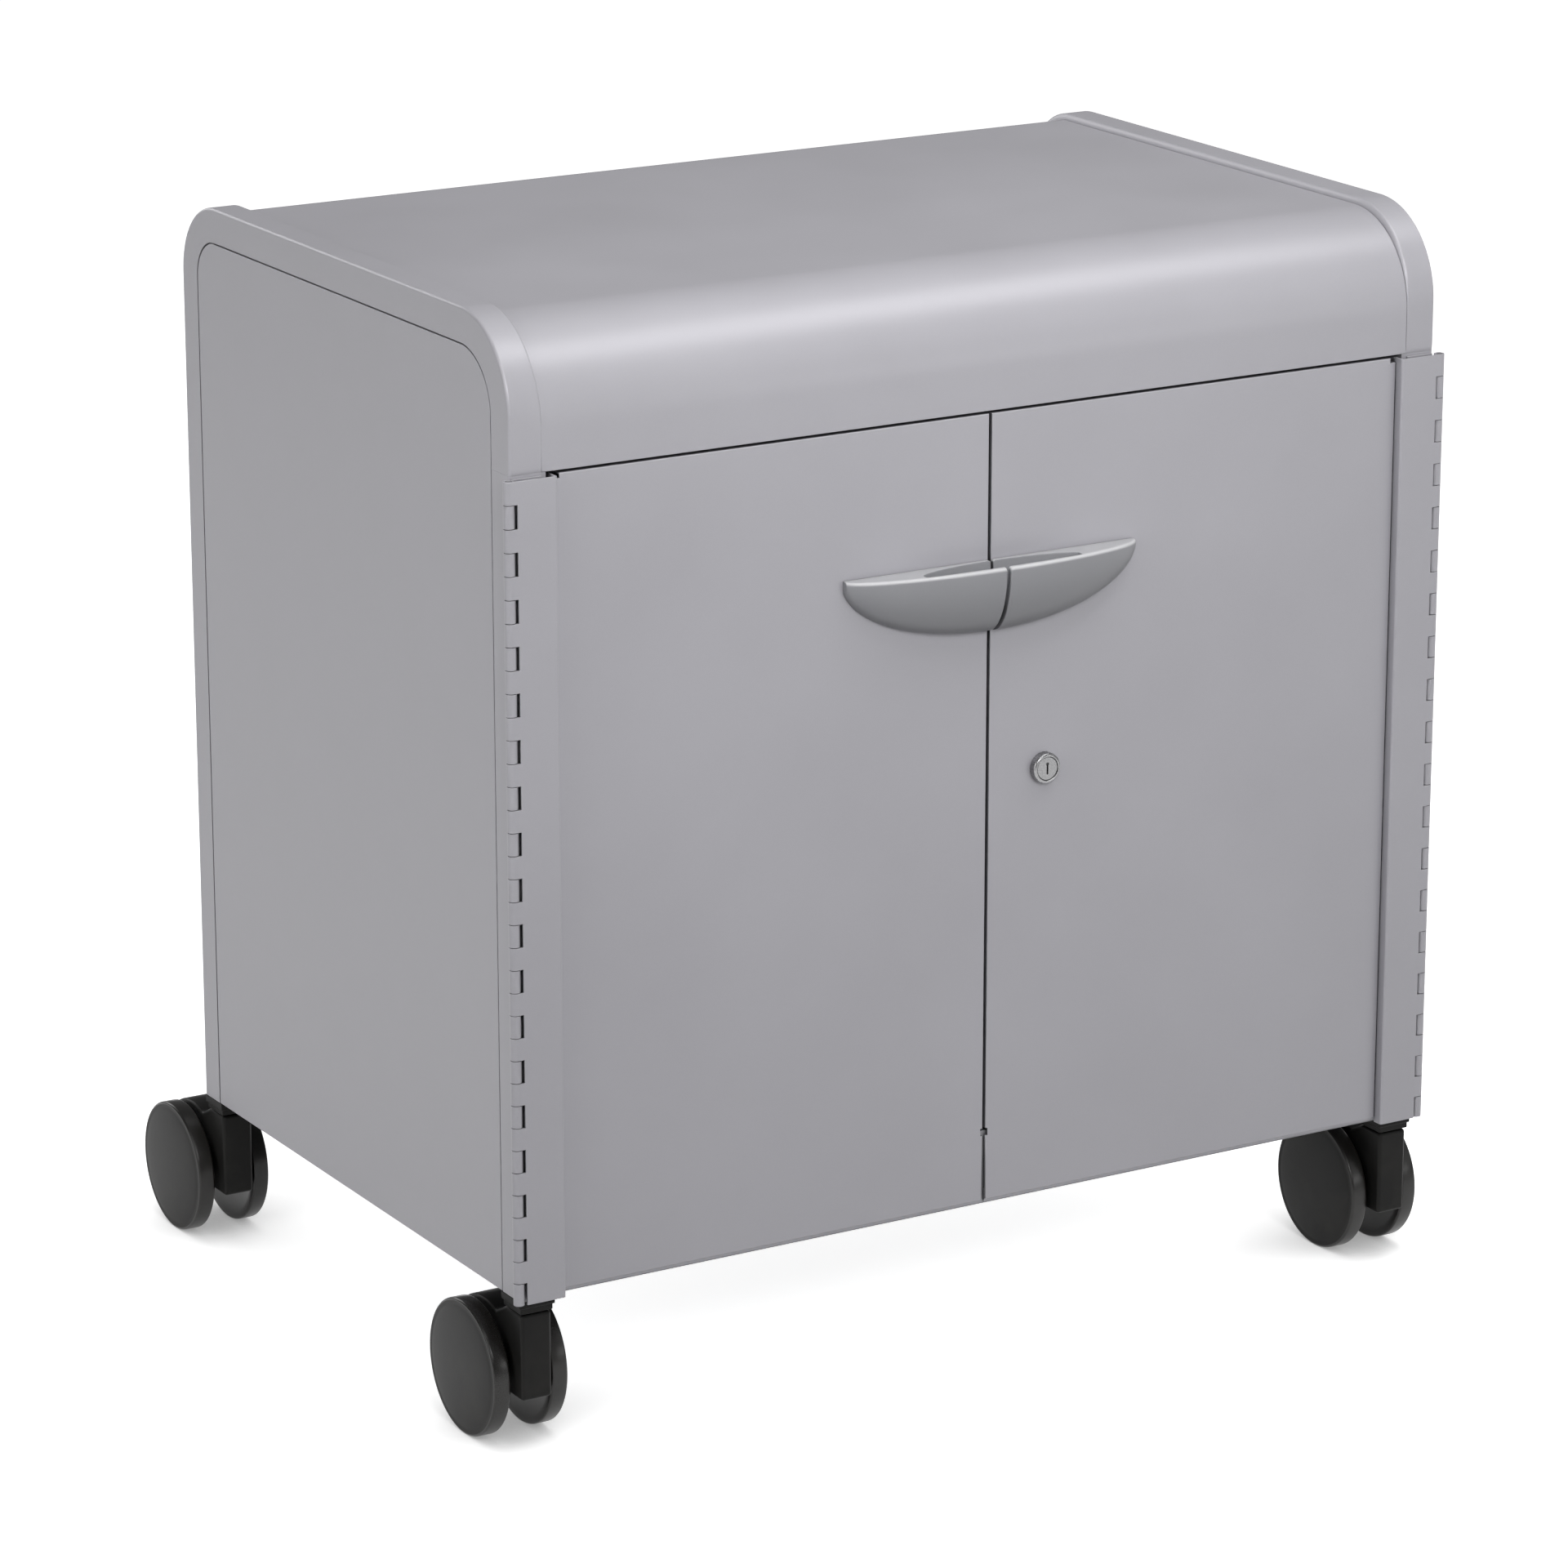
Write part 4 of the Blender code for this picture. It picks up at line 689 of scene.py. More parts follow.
def add_door(label, looks, frame):
    """The folded door: long round front bends, and a strip set back along the lower edge."""
    node = f"door_{label}"
    shape = merged_copy(frame["nodes"][node].data)
    bottom = min(vert.co.z for vert in shape.verts)
    weights = shape.edges.layers.float.new("bevel_weight_edge")
    for edge in shape.edges:
        on_front = all(abs(vert.co.y - FRONT_PLANE_Y) < MERGE_DISTANCE for vert in edge.verts)
        edge[weights] = 1.0 if on_front and edge.calc_length() > DOOR_BEND_LENGTH else FOLD_EDGE / DOOR_BEND
        if edge.calc_face_angle(0.0) < BEVEL_ANGLE:
            edge[weights] = 0.0
    item = object_of(f"{node}_folded", shape, looks["paint"])
    soften(item, DOOR_BEND, limit="WEIGHT")
    low = (-HALF_WIDTH, -OVERRUN, bottom - OVERRUN)
    cut(item, box(low, (HALF_WIDTH, DOOR_HEM_DEPTH, bottom + DOOR_HEM_HEIGHT)))
    soften(item, 0.0)
    return seat(item, node, "silver_paint", node)


def row_tree():
    """Copies a piece along a line in equal steps and gives it one finish."""
    tree = bpy.data.node_groups.new("row_along_a_line", "GeometryNodeTree")
    tree.is_modifier = True
    for label, kind in (("Piece", "Geometry"), ("Count", "Int"), ("Step", "Vector"), ("Finish", "Material")):
        tree.interface.new_socket(label, in_out="INPUT", socket_type=f"NodeSocket{kind}")
    tree.interface.new_socket("Row", in_out="OUTPUT", socket_type="NodeSocketGeometry")
    given = tree.nodes.new("NodeGroupInput").outputs
    inputs = {"Count": given["Count"], "Offset": given["Step"]}
    line = add_node(tree, "GeometryNodeMeshLine", inputs, mode="OFFSET")
    inputs = {"Points": line.outputs["Mesh"], "Instance": given["Piece"]}
    copies = add_node(tree, "GeometryNodeInstanceOnPoints", inputs)
    real = add_node(tree, "GeometryNodeRealizeInstances", {"Geometry": copies.outputs["Instances"]})
    inputs = {"Geometry": real.outputs["Geometry"], "Material": given["Finish"]}
    finish = add_node(tree, "GeometryNodeSetMaterial", inputs)
    add_node(tree, "NodeGroupOutput", {"Row": finish.outputs["Geometry"]})
    return tree


def make_row(item, tree, count, step, material):
    """Repeats the item's own mesh with the row tree; every input is set by its identifier."""
    modifier = item.modifiers.new("row", "NODES")
    modifier.node_group = tree
    values = {"Count": count, "Step": step, "Finish": material}
    for socket in tree.interface.items_tree:
        if socket.in_out == "INPUT" and socket.name in values:
            modifier[socket.identifier] = values[socket.name]
    return settle(item)


def join(target, *others):
    """Adds other plain meshes to the target's mesh and removes their objects."""
    shape = bmesh.new()
    for item in (target, *others):
        shape.from_mesh(item.data)
    shape.to_mesh(target.data)
    shape.free()
    for item in others:
        bpy.data.objects.remove(item)
    return target


# End frames, side panels and top shell

def side_skin():
    inner_lip = LIP_FACE + SHEET
    fold = BAND_WIDTH - SHEET
    lip_end = BAND_WIDTH + REVEAL + LIP_REACH
    outer = [(LIP_FACE, lip_end), (LIP_FACE, BAND_WIDTH), (0.0, BAND_WIDTH)]
    inner = [(SHEET, fold), (inner_lip, fold), (inner_lip, lip_end)]
    return outer, inner


def rim_edge(depth):
    centre = (RIM_EDGE_RADIUS, depth + RIM_EDGE_RADIUS)
    return arc(centre, RIM_EDGE_RADIUS, math.pi, 1.5 * math.pi, RIM_EDGE_STEPS)


def shoulder(recess):
    """Over the rim's rounded crest and down its steep wall to the top sheet."""
    turns = quarter_turns(SHOULDER_STEPS)
    return [(RIM_FLAT + SHOULDER_WIDTH * math.sin(t), recess * (1.0 - math.cos(t))) for t in turns]


def rim_section(recess):
    outer, inner = side_skin()
    seat_depth = recess + SHEET + FLANGE_GAP
    tip_x = SHELL_EDGE + FLANGE_WIDTH
    tip = [(SHELL_EDGE, seat_depth), (tip_x, seat_depth), (tip_x, seat_depth + SHEET)]
    under = SHELL_EDGE - SHEET
    back = [(under, seat_depth + SHEET), (under, recess + SHEET), (RIM_FLAT - SEAT_GAP, SHEET), (SHEET, SHEET)]
    return outer + rim_edge(0.0) + shoulder(recess) + tip + back + inner


def shoulder_depth(angle):
    drop = RIM_RISE * math.sin(angle)
    return FRONT_RADIUS + drop - math.sqrt(drop * drop + FRONT_RADIUS ** 2 - RIM_RISE ** 2)


def rim_stations():
    inward = (1.0, 0.0)
    stations = [((POST_FACE, HEADER_BOTTOM), inward, 0.0), ((0.0, HEADER_BOTTOM + HEM_RISE), inward, 0.0)]
    stations.append(((0.0, BODY_TOP - FRONT_RADIUS - RIM_RISE), inward, 0.0))
    front = (FRONT_RADIUS, BODY_TOP - FRONT_RADIUS, FRONT_RADIUS, math.pi, math.pi / 2.0)
    back = (BODY_DEPTH - BACK_RADIUS, BODY_TOP - BACK_RADIUS, BACK_RADIUS, math.pi / 2.0, 0.0)
    for y, z, radius, start, end in (front, back):
        for i in range(ARC_STEPS + 1):
            angle = start + (end - start) * i / ARC_STEPS
            normal = (-math.cos(angle), -math.sin(angle))
            point = (y + radius * math.cos(angle), z + radius * math.sin(angle))
            stations.append((point, normal, shoulder_depth(angle) if radius == FRONT_RADIUS else RIM_RISE))
    stations.append(((BODY_DEPTH, BODY_UNDERSIDE), (-1.0, 0.0), RIM_RISE))
    return stations


def post_section():
    """The front post in plan, as (distance in from the side, depth) points."""
    outer, inner = side_skin()
    jamb, face = POST_WIDTH, POST_FACE
    front = rim_edge(face) + [(jamb, face), (jamb, POST_DEPTH), (jamb - SHEET, POST_DEPTH)]
    return outer + front + [(jamb - SHEET, face + SHEET), (SHEET, face + SHEET)] + inner


def add_end_frame(label, side, looks):
    loops = []
    for (y, z), (ny, nz), recess in rim_stations():
        loops.append([Vector((side * (HALF_WIDTH - i), y + ny * d, z + nz * d)) for i, d in rim_section(recess)])
    shape = add_loft(bmesh.new(), loops)
    post = [(side * (HALF_WIDTH - i), d) for i, d in post_section()]
    prism_z(post, BODY_UNDERSIDE, HEADER_BOTTOM - SHELL_GAP, shape)
    item = new_object(f"end_frame_{label}_skin", shape, looks["frame"])
    soften(item, 0.0)
    return seat(item, "cabinet", "silver_paint", f"end_frame_{label}")


def arch(offset, bottom):
    top = BODY_TOP - FRONT_RADIUS
    front = arc((FRONT_RADIUS, top), FRONT_RADIUS - offset, math.pi, math.pi / 2.0, ARC_STEPS)
    centre = (BODY_DEPTH - BACK_RADIUS, BODY_TOP - BACK_RADIUS)
    back = arc(centre, BACK_RADIUS - offset, math.pi / 2.0, 0.0, ARC_STEPS)
    return [(offset, bottom)] + front + back + [(BODY_DEPTH - offset, bottom)]


def add_side_panel(label, side, looks):
    outline = arch(BAND_WIDTH + PANEL_GAP, BODY_UNDERSIDE)
    shape = prism_x(outline, side * HALF_WIDTH, side * (HALF_WIDTH - SIDE_PANEL_THICKNESS))
    item = new_object(f"side_panel_{label}_skin", shape, looks["frame"])
    soften(item, FOLD_EDGE)
    return seat(item, "cabinet", "silver_paint", f"side_panel_{label}")


def shell_skin(thickness):
    top = BODY_TOP - RIM_RISE
    back_centre = (BODY_DEPTH - BACK_RADIUS, BODY_TOP - BACK_RADIUS)
    back_radius = BACK_RADIUS - RIM_RISE - thickness
    points = [(thickness, HEADER_BOTTOM + thickness)]
    points += arc((FRONT_RADIUS, top - FRONT_RADIUS), FRONT_RADIUS - thickness, math.pi, math.pi / 2.0, ARC_STEPS)
    points += arc(back_centre, back_radius, math.pi / 2.0, 0.0, ARC_STEPS)
    points.append((back_centre[0] + back_radius, back_centre[1] - SHELL_BACK_DROP))
    return points


def add_top_shell(looks):
    foot = [(HEADER_FLANGE, HEADER_BOTTOM + SHEET), (HEADER_FLANGE, HEADER_BOTTOM)]
    edge = HALF_WIDTH - SHELL_EDGE - SHELL_GAP
    shape = prism_x(foot + shell_skin(0.0) + list(reversed(shell_skin(SHEET))), -edge, edge)
    item = new_object("top_shell_skin", shape, looks["frame"])
    soften(item, FOLD_EDGE, CURVE_SEGMENTS)
    return seat(item, "cabinet", "silver_paint", "top_shell")


# Hinges

def roll(facing):
    """A leaf's roll round the pin in plan, from the sheet's skin out and back in to its inner side."""
    start = facing * math.pi / 2.0
    turn = facing * ROLL_SWEEP
    outer = arc((0.0, 0.0), BARREL_RADIUS, start, start + turn, KNUCKLE_STEPS)
    inner = arc((0.0, 0.0), BARREL_RADIUS - HINGE_SHEET, start + turn, start, KNUCKLE_STEPS)
    return [(HINGE_AXIS_X - x, y - AXIS_FORWARD) for x, y in outer + inner]


def strip_points():
    """The raised strip from its inner side round the fold to the step wall and back to its face."""
    front = -AXIS_FORWARD - BARREL_RADIUS
    edge = HALF_WIDTH - STRIP_WIDTH
    centre = (edge + STRIP_FOLD_RADIUS, front + STRIP_FOLD_RADIUS)
    inner = arc(centre, STRIP_FOLD_RADIUS - HINGE_SHEET, -math.pi / 2.0, -math.pi, STRIP_FOLD_STEPS)
    outer = arc(centre, STRIP_FOLD_RADIUS, -math.pi, -math.pi / 2.0, STRIP_FOLD_STEPS)
    return inner + [(edge + HINGE_SHEET, STEP_WALL_DEPTH), (edge, STEP_WALL_DEPTH)] + outer


def add_leaf(name, side, outline, slot_edge, first, looks, tree):
    """A hinge leaf of one folded sheet, slotted where the other leaf's knuckles go."""
    section = [(side * x, y) for x, y in outline]
    leaf = new_object(name, prism_z(section, BODY_UNDERSIDE, DOOR_TOP), looks["paint"])
    pitch = (DOOR_TOP - BODY_UNDERSIDE) / KNUCKLE_PAIRS
    top = DOOR_TOP - first * pitch / 2.0 + KNUCKLE_PLAY / 2.0
    ends = (HINGE_AXIS_X - BARREL_RADIUS - slot_edge, HINGE_AXIS_X + 2.0 * BARREL_RADIUS)
    near, far = sorted(side * end for end in ends)
    low = (near, -AXIS_FORWARD - 2.0 * BARREL_RADIUS, top - pitch / 2.0 - KNUCKLE_PLAY)
    slot = new_object(f"{name}_slot", box(low, (far, -AXIS_FORWARD + 2.0 * BARREL_RADIUS, top)), None)
    make_row(slot, tree, KNUCKLE_PAIRS, (0.0, 0.0, -pitch), looks["paint"])
    return cut_with(leaf, slot)


def add_hinge(label, side, looks, tree):
    name = f"hinge_strip_{label}"
    strip = add_leaf(name, side, roll(-1.0) + strip_points(), KNUCKLE_SLOT, 1, looks, tree)
    edge = HALF_WIDTH - STRIP_WIDTH
    near, far = sorted((side * (edge - OVERRUN), side * (edge + HINGE_SHEET + SEAT_GAP)))
    low = (near, SHEET, BODY_UNDERSIDE - OVERRUN)
    cut(strip, box(low, (far, STEP_WALL_DEPTH + OVERRUN, DECK_RELIEF_TOP)))
    soften(strip, FOLD_EDGE / 2.0, CURVE_SEGMENTS)
    seat(strip, f"door_{label}", "silver_paint", f"hinge_leaf_door_{label}")
    back = BARREL_RADIUS - AXIS_FORWARD
    end = HALF_WIDTH - BODY_LEAF_REACH
    outline = roll(1.0) + [(end, back - HINGE_SHEET), (end, back)]
    plate = add_leaf(f"hinge_plate_{label}", side, outline, KNUCKLE_PLAY, 0, looks, tree)
    soften(plate, FOLD_EDGE / 2.0, CURVE_SEGMENTS)
    seat(plate, "cabinet", "silver_paint", f"hinge_leaf_body_{label}")
    centre = (side * HINGE_AXIS_X, -AXIS_FORWARD, BODY_UNDERSIDE)
    length = DOOR_TOP - BODY_UNDERSIDE
    tip = PIN_RADIUS * PIN_TIP_SHARE
    profile = [(0.0, tip), (SEAT_GAP, PIN_RADIUS), (length - SEAT_GAP, PIN_RADIUS), (length, tip)]
    shape = turned(profile, centre, (0.0, 0.0, 1.0), PIN_SIDES)
    pin = new_object(f"hinge_pin_{label}_turned", shape, looks["steel"])
    soften(pin, 0.0)
    seat(pin, "cabinet", "plated_steel", f"hinge_pin_{label}")


# Pulls and lock

def pull_stations():
    """(x, share of the swell, inset) from the rounded meeting edge out to the tip."""
    stations = []
    for turn in quarter_turns(PULL_END_STEPS)[:-1]:
        x = DOOR_MEETING_EDGE + PULL_END_RADIUS * (1.0 - math.cos(turn))
        stations.append((x, 1.0, PULL_END_RADIUS * (1.0 - math.sin(turn))))
    start = DOOR_MEETING_EDGE + PULL_END_RADIUS
    for turn in quarter_turns(PULL_STATIONS):
        share = PULL_TIP_SHARE * math.sin(turn)
        x = start + (PULL_HALF_LENGTH - start) * share
        stations.append((x, math.sqrt(1.0 - share * share), 0.0))
    return stations


def pull_shell(side):
    """A quarter-round shell with a rounded upper lip, flared a little at its meeting edge."""
    door_face = -SEAT_GAP
    loops = []
    for x, swell, inset in pull_stations():
        out = PULL_PROJECTION * swell - inset
        drop = PULL_HEIGHT * swell - inset
        lip = min(PULL_LIP_RADIUS, PULL_LIP_SHARE * out)
        top = PULL_TOP - inset
        points = [(0.0, top)]
        for turn in quarter_turns(PULL_LIP_STEPS):
            points.append((out - lip * (1.0 - math.sin(turn)), top - lip * (1.0 - math.cos(turn))))
        for turn in quarter_turns(PULL_ROUND_STEPS)[1:]:
            points.append((out * math.cos(turn), top - lip - (drop - lip) * math.sin(turn)))
        flare = PULL_SEAM_FLARE * inset / PULL_END_RADIUS / drop
        loops.append([Vector((side * (x + flare * (top - z)), door_face - reach, z)) for reach, z in points])
    return add_loft(bmesh.new(), loops)


def pull_pocket(side):
    door_face = -SEAT_GAP
    front_at_middle = PULL_PROJECTION - PULL_WALL
    loops = []
    for turn in quarter_turns(POCKET_STATIONS):
        share = POCKET_END_SHARE * math.sin(turn)
        swell = math.sqrt(1.0 - share * share)
        x = side * (-OVERRUN + (PULL_POCKET_LENGTH + OVERRUN) * share)
        near = PULL_POCKET_END - (PULL_POCKET_END - PULL_BACK_WALL) * swell
        far = PULL_POCKET_END + (front_at_middle - PULL_POCKET_END) * swell
        far += PULL_WALL * POCKET_TIP_SHARE * (1.0 - swell)
        loop = [Vector((x, door_face - near, PULL_TOP + OVERRUN)), Vector((x, door_face - far, PULL_TOP + OVERRUN))]
        for angle in quarter_turns(PULL_ROUND_STEPS):
            z = PULL_TOP - PULL_POCKET_DEPTH * swell * math.sin(angle)
            loop.append(Vector((x, door_face - near - (far - near) * math.cos(angle), z)))
        loops.append(loop)
    return add_loft(bmesh.new(), loops)


def add_pull(label, side, looks):
    item = new_object(f"pull_{label}_shell", pull_shell(side), looks["pull"])
    cut(item, pull_pocket(side))
    soften(item, FOLD_EDGE, CURVE_SEGMENTS)
    return seat(item, f"door_{label}", "pull_lacquer", f"pull_{label}")


def add_lock(looks):
    centre = Vector((LOCK_OFFSET, 0.0, LOCK_HEIGHT))
    back = (0.0, 1.0, 0.0)
    front = -LOCK_PROJECTION
    profile = [(LOCK_BARREL_END, LOCK_BORE_RADIUS), (LOCK_BARREL_END, LOCK_BARREL_RADIUS)]
    profile += [(-SEAT_GAP, LOCK_BARREL_RADIUS), (-SEAT_GAP, LOCK_RING_RADIUS)]
    for angle in quarter_turns(LOCK_RING_STEPS):
        reach = LOCK_RING_RADIUS - LOCK_RING_BEVEL * (1.0 - math.cos(angle))
        profile.append((front + LOCK_RING_BEVEL * (1.0 - math.sin(angle)), reach))
    profile += [(front, LOCK_BORE_RADIUS + SEAT_GAP), (front + SEAT_GAP, LOCK_BORE_RADIUS)]
    ring = new_object("lock_ring", turned(profile, centre, back, LOCK_SIDES, hollow=True), looks["lock"])
    soften(ring, 0.0)
    seat(ring, "door_right", "lock_chrome", "lock_housing")
    face = front + LOCK_PLUG_INSET
    profile = [(face, LOCK_PLUG_RADIUS - SEAT_GAP), (face + SEAT_GAP, LOCK_PLUG_RADIUS)]
    profile += [(LOCK_BARREL_END, LOCK_PLUG_RADIUS), (LOCK_BARREL_END, CAM_TAIL_HALF)]
    profile += [(LOCK_BARREL_END + CAM_STANDOFF, CAM_TAIL_HALF)]
    plug = new_object("lock_core", turned(profile, centre, back, LOCK_SIDES), looks["lock"])
    half_width, half_height = KEYHOLE_WIDTH / 2.0, KEYHOLE_HEIGHT / 2.0
    low = centre + Vector((-half_width, face - OVERRUN, -half_height))
    cut(plug, box(low, centre + Vector((half_width, face + KEYHOLE_DEPTH, half_height))))
    eye_centre = centre + Vector((0.0, 0.0, KEYHOLE_EYE_RISE))
    eye_profile = [(face - OVERRUN, KEYHOLE_EYE_RADIUS), (face + KEYHOLE_DEPTH / 2.0, KEYHOLE_EYE_RADIUS)]
    cut(plug, turned(eye_profile, eye_centre, back, KEYHOLE_EYE_SIDES))
    soften(plug, 0.0)
    seat(plug, "lock_cam", "lock_chrome", "lock_plug")


# Casters

def wheel_profile():
    """From the blind bore out over the hub, dish and rim to the middle of the domed face."""
    bore = AXLE_RADIUS + SEAT_GAP
    points = [(WHEEL_BORE_DEPTH, bore), (WHEEL_HUB_FACE, bore), (WHEEL_HUB_FACE, WHEEL_HUB_RADIUS)]
    points += [(WHEEL_DISH, WHEEL_HUB_RADIUS + WHEEL_EDGE), (WHEEL_DISH, WHEEL_DISH_RADIUS)]
    points.append((WHEEL_RIM_INNER, WHEEL_DISH_RADIUS + 2.0 * WHEEL_EDGE))
    inner = (WHEEL_RIM_INNER + WHEEL_EDGE, WHEEL_RADIUS - WHEEL_EDGE)
    points += arc(inner, WHEEL_EDGE, math.pi, math.pi / 2.0, WHEEL_EDGE_STEPS)
    outer = (WHEEL_RIM_OUTER - WHEEL_EDGE, WHEEL_RADIUS - WHEEL_EDGE)
    points += arc(outer, WHEEL_EDGE, math.pi / 2.0, 0.0, WHEEL_EDGE_STEPS)
    return points


def dome_profile():
    points = []
    start = WHEEL_RADIUS - 2.0 * WHEEL_EDGE
    for i in range(WHEEL_DOME_STEPS):
        share = i / WHEEL_DOME_STEPS
        rise = (WHEEL_DOME + SEAT_GAP) * math.sin(math.pi / 2.0 * share)
        points.append((WHEEL_RIM_OUTER - SEAT_GAP + rise, start * (1.0 - share ** WHEEL_DOME_POWER)))
    return points


def add_wheel(name, centre, way, looks, body, node):
    """The wheel with its glossy rim, and the satin domed face as a second finish."""
    profile = wheel_profile() + dome_profile()
    shape = turned(profile, centre, (way, 0.0, 0.0), WHEEL_SIDES)
    item = new_object(name, shape, looks["tread"])
    item.data.materials.append(looks["face"])
    outer = centre[0] + way * (WHEEL_RIM_OUTER - WHEEL_EDGE)
    for face in item.data.polygons:
        y = face.center.y - centre[1] - FRONT_PLANE_Y
        z = face.center.z - centre[2]
        if way * (face.center.x - outer) > 0.0 and math.hypot(y, z) < FACE_RADIUS:
            face.material_index = 1
    item.data.shade_smooth()
    item.data.set_sharp_from_angle(angle=SMOOTH_ANGLE)
    return seat(item, body, "wheel_plastic", node)


def housing_outline(stem_y, axle_y):
    front = stem_y - HOUSING_FRONT
    points = [(front, HOUSING_BLOCK_BOTTOM), (front, HOUSING_TOP), (stem_y + HOUSING_FRONT, HOUSING_TOP)]
    points += arc((axle_y, WHEEL_RADIUS), WHEEL_RADIUS - HOOD_DROP, HOOD_START, HOOD_END, HOOD_STEPS)
    points += arc((axle_y, WHEEL_RADIUS), HUB_WEB_RADIUS, HUB_WEB_START, HUB_WEB_END, HUB_WEB_STEPS)
    points.append((front + HOUSING_BLOCK_DEPTH, HOUSING_BLOCK_BOTTOM))
    return points


def add_caster(label, stem_x, stem_y, looks, frame):
    axle_y = stem_y + CASTER_TRAIL
    half = HOUSING_WIDTH / 2.0
    shape = prism_x(housing_outline(stem_y, axle_y), stem_x - half, stem_x + half)
    housing = new_object(f"caster_fork_{label}", shape, looks["black"])
    soften(housing, HOUSING_EDGE)
    stem_profile = [(0.0, STEM_RADIUS), (STEM_TOP - HOUSING_TOP, STEM_RADIUS)]
    stem_centre = (stem_x, stem_y, HOUSING_TOP)
    shape = turned(stem_profile, stem_centre, (0.0, 0.0, 1.0), STEM_SIDES)
    stem = new_object(f"caster_stem_{label}", shape, looks["black"])
    soften(stem, 0.0)
    join(housing, stem)
    body = f"caster_{label}"
    seat(housing, body, "caster_plastic", f"caster_housing_{label}")
    node = f"caster_socket_{label}"
    softened_node(node, "cabinet", looks["black"], "caster_plastic", frame, PLASTIC_EDGE / 2.0)
    for wheel_label, way in SIDES:
        centre = (stem_x, axle_y, WHEEL_RADIUS)
        node = f"caster_wheel_{label}_{wheel_label}"
        add_wheel(f"wheel_{label}_{wheel_label}_turned", centre, way, looks, f"wheel_{label}_{wheel_label}", node)


# Trays

def tray_loop(centre_x, z, inset, corner):
    half = TRAY_WIDTH / 2.0 - inset
    front = TRAY_BACK - TRAY_DEPTH + inset
    back = TRAY_BACK - inset
    corners = ((half - corner, back - corner, 0.0), (-half + corner, back - corner, 0.5))
    corners += ((-half + corner, front + corner, 1.0), (half - corner, front + corner, 1.5))
    points = []
    for x, y, start in corners:
        first = start * math.pi
        points += arc((centre_x + x, y), corner, first, first + math.pi / 2.0, TRAY_CORNER_STEPS)
    return [Vector((x, y, z)) for x, y in points]


def add_tray(name, centre_x, bottom, looks, tree):
    top = bottom + TRAY_HEIGHT
    under = top - TRAY_RIM_THICKNESS
    body, foot, corner = TRAY_RIM, TRAY_RIM + TRAY_TAPER, TRAY_CORNER
    edge = TRAY_WALL / 2.0
    inner = corner - TRAY_WALL
    loops = [
        tray_loop(centre_x, bottom, foot + edge, corner),
        tray_loop(centre_x, bottom + edge, foot, corner),
        tray_loop(centre_x, under, body, corner),
        tray_loop(centre_x, under, edge / 2.0, corner),
        tray_loop(centre_x, under + edge / 2.0, 0.0, corner),
        tray_loop(centre_x, top - edge, 0.0, corner),
        tray_loop(centre_x, top, edge, corner),
        tray_loop(centre_x, top, body + TRAY_WALL, inner),
        tray_loop(centre_x, bottom + 2.0 * TRAY_WALL, foot + TRAY_WALL, inner),
        tray_loop(centre_x, bottom + TRAY_WALL, foot + 2.0 * TRAY_WALL, inner),
    ]
    tray = new_object(f"{name}_moulding", add_loft(bmesh.new(), loops), looks["tray"])
    soften(tray, 0.0)
    front = TRAY_BACK - TRAY_DEPTH + SEAT_GAP
    half = GRIP_WIDTH / 2.0
    low = (centre_x - half, front, top - GRIP_DROP)
    high = (centre_x + half, front + GRIP_THICKNESS, top - TRAY_RIM_THICKNESS / 2.0)
    grip = new_object(f"{name}_grip", box(low, high), looks["tray"])
    soften(grip, PLASTIC_EDGE / 2.0)
    rib_y = TRAY_BACK - TRAY_RIM - TRAY_TAPER - TRAY_RIB_STEP
    floor = bottom + TRAY_WALL
    reach = TRAY_WIDTH / 2.0 - TRAY_RIM - TRAY_TAPER - TRAY_CORNER
    low = (centre_x - reach, rib_y, floor)
    high = (centre_x + reach, rib_y + TRAY_RIB_WIDTH, floor + TRAY_RIB_HEIGHT)
    rib = new_object(f"{name}_rib", box(low, high), None)
    make_row(rib, tree, TRAY_RIB_COUNT, (0.0, -TRAY_RIB_STEP, 0.0), looks["tray"])
    join(tray, grip, rib)
    return seat(tray, name, "tray_plastic", name)


# Fasteners

def add_back_screws(label, side, looks, tree):
    """Low domed screws that hold the back panel to the end frame's flange."""
    profile = [(SCREW_HEIGHT * rise, SCREW_RADIUS * reach) for rise, reach in SCREW_DOME]
    centre = (side * (HALF_WIDTH - BACK_SCREW_EDGE), BODY_DEPTH - RIM_RISE, BACK_SCREW_START)
    shape = turned(profile, centre, (0.0, 1.0, 0.0), SCREW_SIDES)
    screw = new_object(f"back_screws_{label}", shape, None)
    soften(screw, 0.0)
    make_row(screw, tree, BACK_SCREW_COUNT, (0.0, 0.0, BACK_SCREW_STEP), looks["steel"])
    return seat(screw, "cabinet", "plated_steel")


# Stage

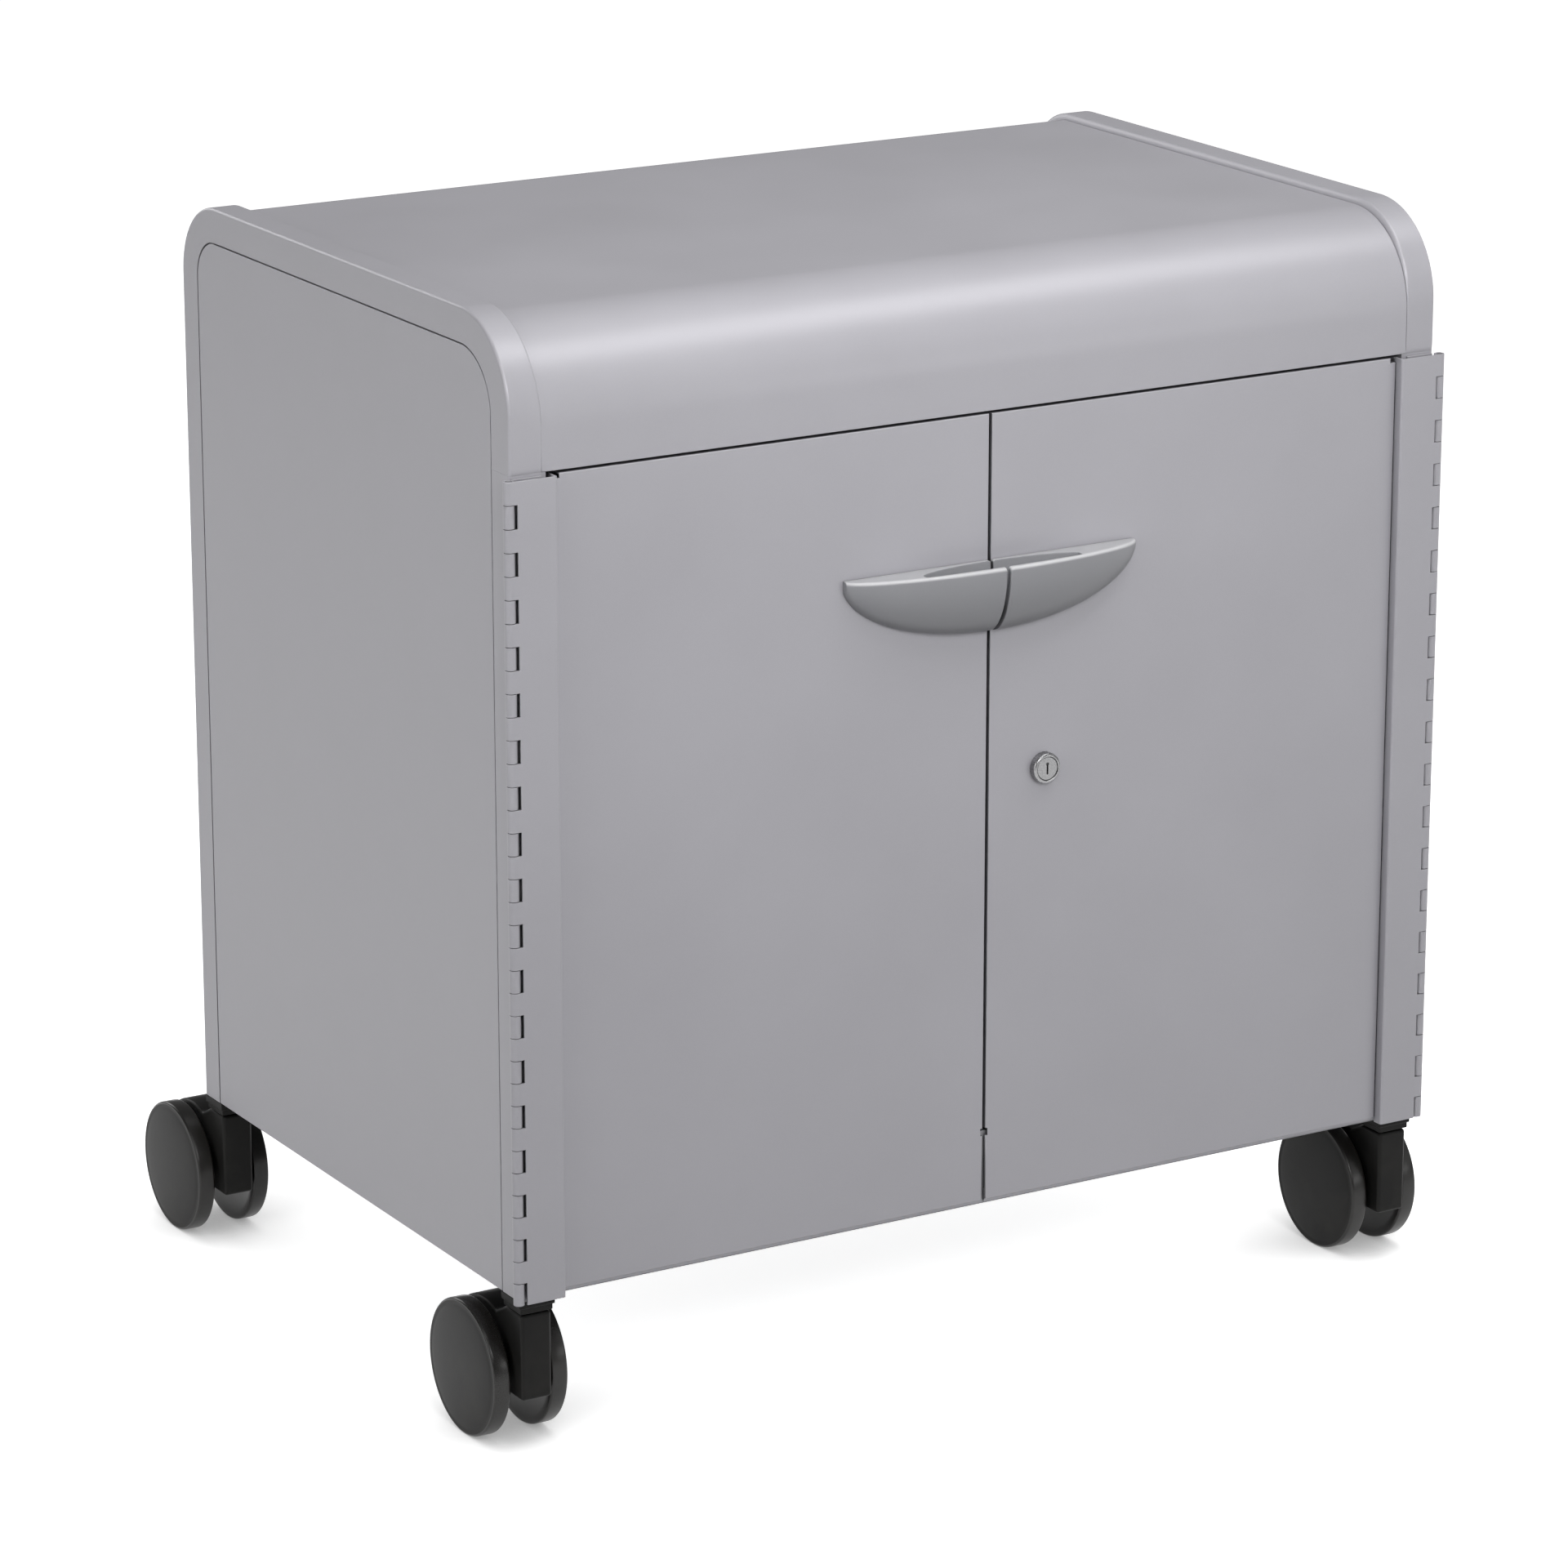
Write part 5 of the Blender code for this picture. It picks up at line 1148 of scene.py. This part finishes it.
def add_floor():
    """A pale floor: white to the camera and in reflections, dimmer in the light it throws back."""
    shape = box((-FLOOR_REACH, -FLOOR_REACH, -FLOOR_THICKNESS), (FLOOR_REACH, FLOOR_REACH, 0.0))
    floor = new_object("floor", shape, None)
    material = bpy.data.materials.new("pale_floor")
    material.use_nodes = True
    tree = material.node_tree
    tree.nodes.clear()
    path = add_node(tree, "ShaderNodeLightPath")
    seen = sum_of(tree, path.outputs["Is Camera Ray"], path.outputs["Is Glossy Ray"], "MAXIMUM")
    seen = sum_of(tree, seen, path.outputs["Is Transmission Ray"], "MAXIMUM")
    place = add_node(tree, "ShaderNodeTexCoord").outputs["Object"]
    mottle = spread(tree, noise(tree, place, 3.0, 4.0), 0.3, 0.7)
    dull = blend_colour(tree, mottle, *FLOOR_DULL)
    near = add_node(tree, "ShaderNodeAmbientOcclusion", {"Distance": FLOOR_SHADOW_REACH}, samples=12)
    shade = spread(tree, near.outputs["AO"], 0.0, 1.0, FLOOR_SHADOW_DEPTH, 1.0)
    pale = blend_colour(tree, shade, *FLOOR_PALE)
    colour = blend_colour(tree, seen, dull, pale)
    matte = add_node(tree, "ShaderNodeBsdfDiffuse", {"Color": colour})
    strength = sum_of(tree, sum_of(tree, seen, shade, "MULTIPLY"), FLOOR_GLOW, "MULTIPLY")
    glow = add_node(tree, "ShaderNodeEmission", {"Strength": strength})
    both = add_node(tree, "ShaderNodeAddShader", {0: matte.outputs[0], 1: glow.outputs[0]})
    add_node(tree, "ShaderNodeOutputMaterial", {"Surface": both.outputs[0]})
    floor.data.materials.append(material)


def add_world():
    world = bpy.data.worlds.new("studio")
    bpy.context.scene.world = world
    world.use_nodes = True
    tree = world.node_tree
    path = add_node(tree, "ShaderNodeLightPath")
    seen = sum_of(tree, path.outputs["Is Camera Ray"], path.outputs["Is Transmission Ray"], "MAXIMUM")
    strength = spread(tree, seen, 0.0, 1.0, WORLD_LIGHT, 1.0)
    link_in(tree, tree.nodes["Background"], "Color", (1.0, 1.0, 1.0, 1.0))
    link_in(tree, tree.nodes["Background"], "Strength", strength)


def add_lamp(name, place, target, size, power, beam):
    data = bpy.data.lights.new(name, "AREA")
    data.shape = "RECTANGLE"
    data.size, data.size_y = size
    data.energy = power
    data.spread = beam
    lamp = bpy.data.objects.new(name, data)
    bpy.context.scene.collection.objects.link(lamp)
    lamp.location = place
    lamp.rotation_euler = (Vector(target) - Vector(place)).to_track_quat("-Z", "Y").to_euler()


def add_camera():
    data = bpy.data.cameras.new("photo_view")
    data.sensor_width = CAMERA_SENSOR
    data.lens = CAMERA_LENS
    camera = bpy.data.objects.new("photo_view", data)
    bpy.context.scene.collection.objects.link(camera)
    x, y, z = CAMERA_PLACE
    camera.location = (x, y + FRONT_PLANE_Y, z)
    camera.rotation_euler = (math.pi / 2.0 - CAMERA_TILT, 0.0, -CAMERA_TURN)
    bpy.context.scene.camera = camera


def main():
    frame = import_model()
    looks = make_finishes()
    tree = row_tree()
    for label, side in SIDES:
        add_end_frame(label, side, looks)
        add_side_panel(label, side, looks)
        add_hinge(label, side, looks, tree)
        add_pull(label, side, looks)
        add_door(label, looks, frame)
        softened_node(f"catch_strike_{label}", f"door_{label}", looks["steel"], "plated_steel", frame)
        add_back_screws(label, side, looks, tree)
        for kind in ("outer", "inner"):
            softened_node(f"runner_rack_{label}_{kind}", "cabinet", looks["inside"], "inner_paint", frame)
        for row in range(TRAY_ROWS):
            bottom = TRAY_FIRST_BOTTOM + row * TRAY_PITCH
            add_tray(f"tray_{label}_{row + 1}", side * TRAY_CENTRE, bottom, looks, tree)
    add_top_shell(looks)
    add_lock(looks)
    for node, body, look, material_slot in (
        ("back_panel", "cabinet", "frame", "silver_paint"),
        ("base_deck", "cabinet", "inside", "inner_paint"),
        ("centre_divider", "cabinet", "inside", "inner_paint"),
        ("lock_keeper", "cabinet", "inside", "inner_paint"),
        ("magnetic_catch", "cabinet", "magnet", "catch_plastic"),
        ("lock_nut", "door_right", "steel", "plated_steel"),
        ("lock_cam", "lock_cam", "steel", "plated_steel"),
    ):
        softened_node(node, body, looks[look], material_slot, frame)
    for row, stem_y in (("front", STEM_INSET), ("back", BODY_DEPTH - STEM_INSET)):
        for label, side in SIDES:
            add_caster(f"{row}_{label}", side * (HALF_WIDTH - STEM_INSET), stem_y, looks, frame)
            axle = frame["nodes"][f"caster_axle_{row}_{label}"]
            axle.data.materials.clear()
            axle.data.materials.append(looks["steel"])
    bpy.context.scene.view_settings.view_transform = "Standard"
    add_floor()
    add_world()
    for lamp in LAMPS:
        add_lamp(*lamp)
    add_camera()


main()
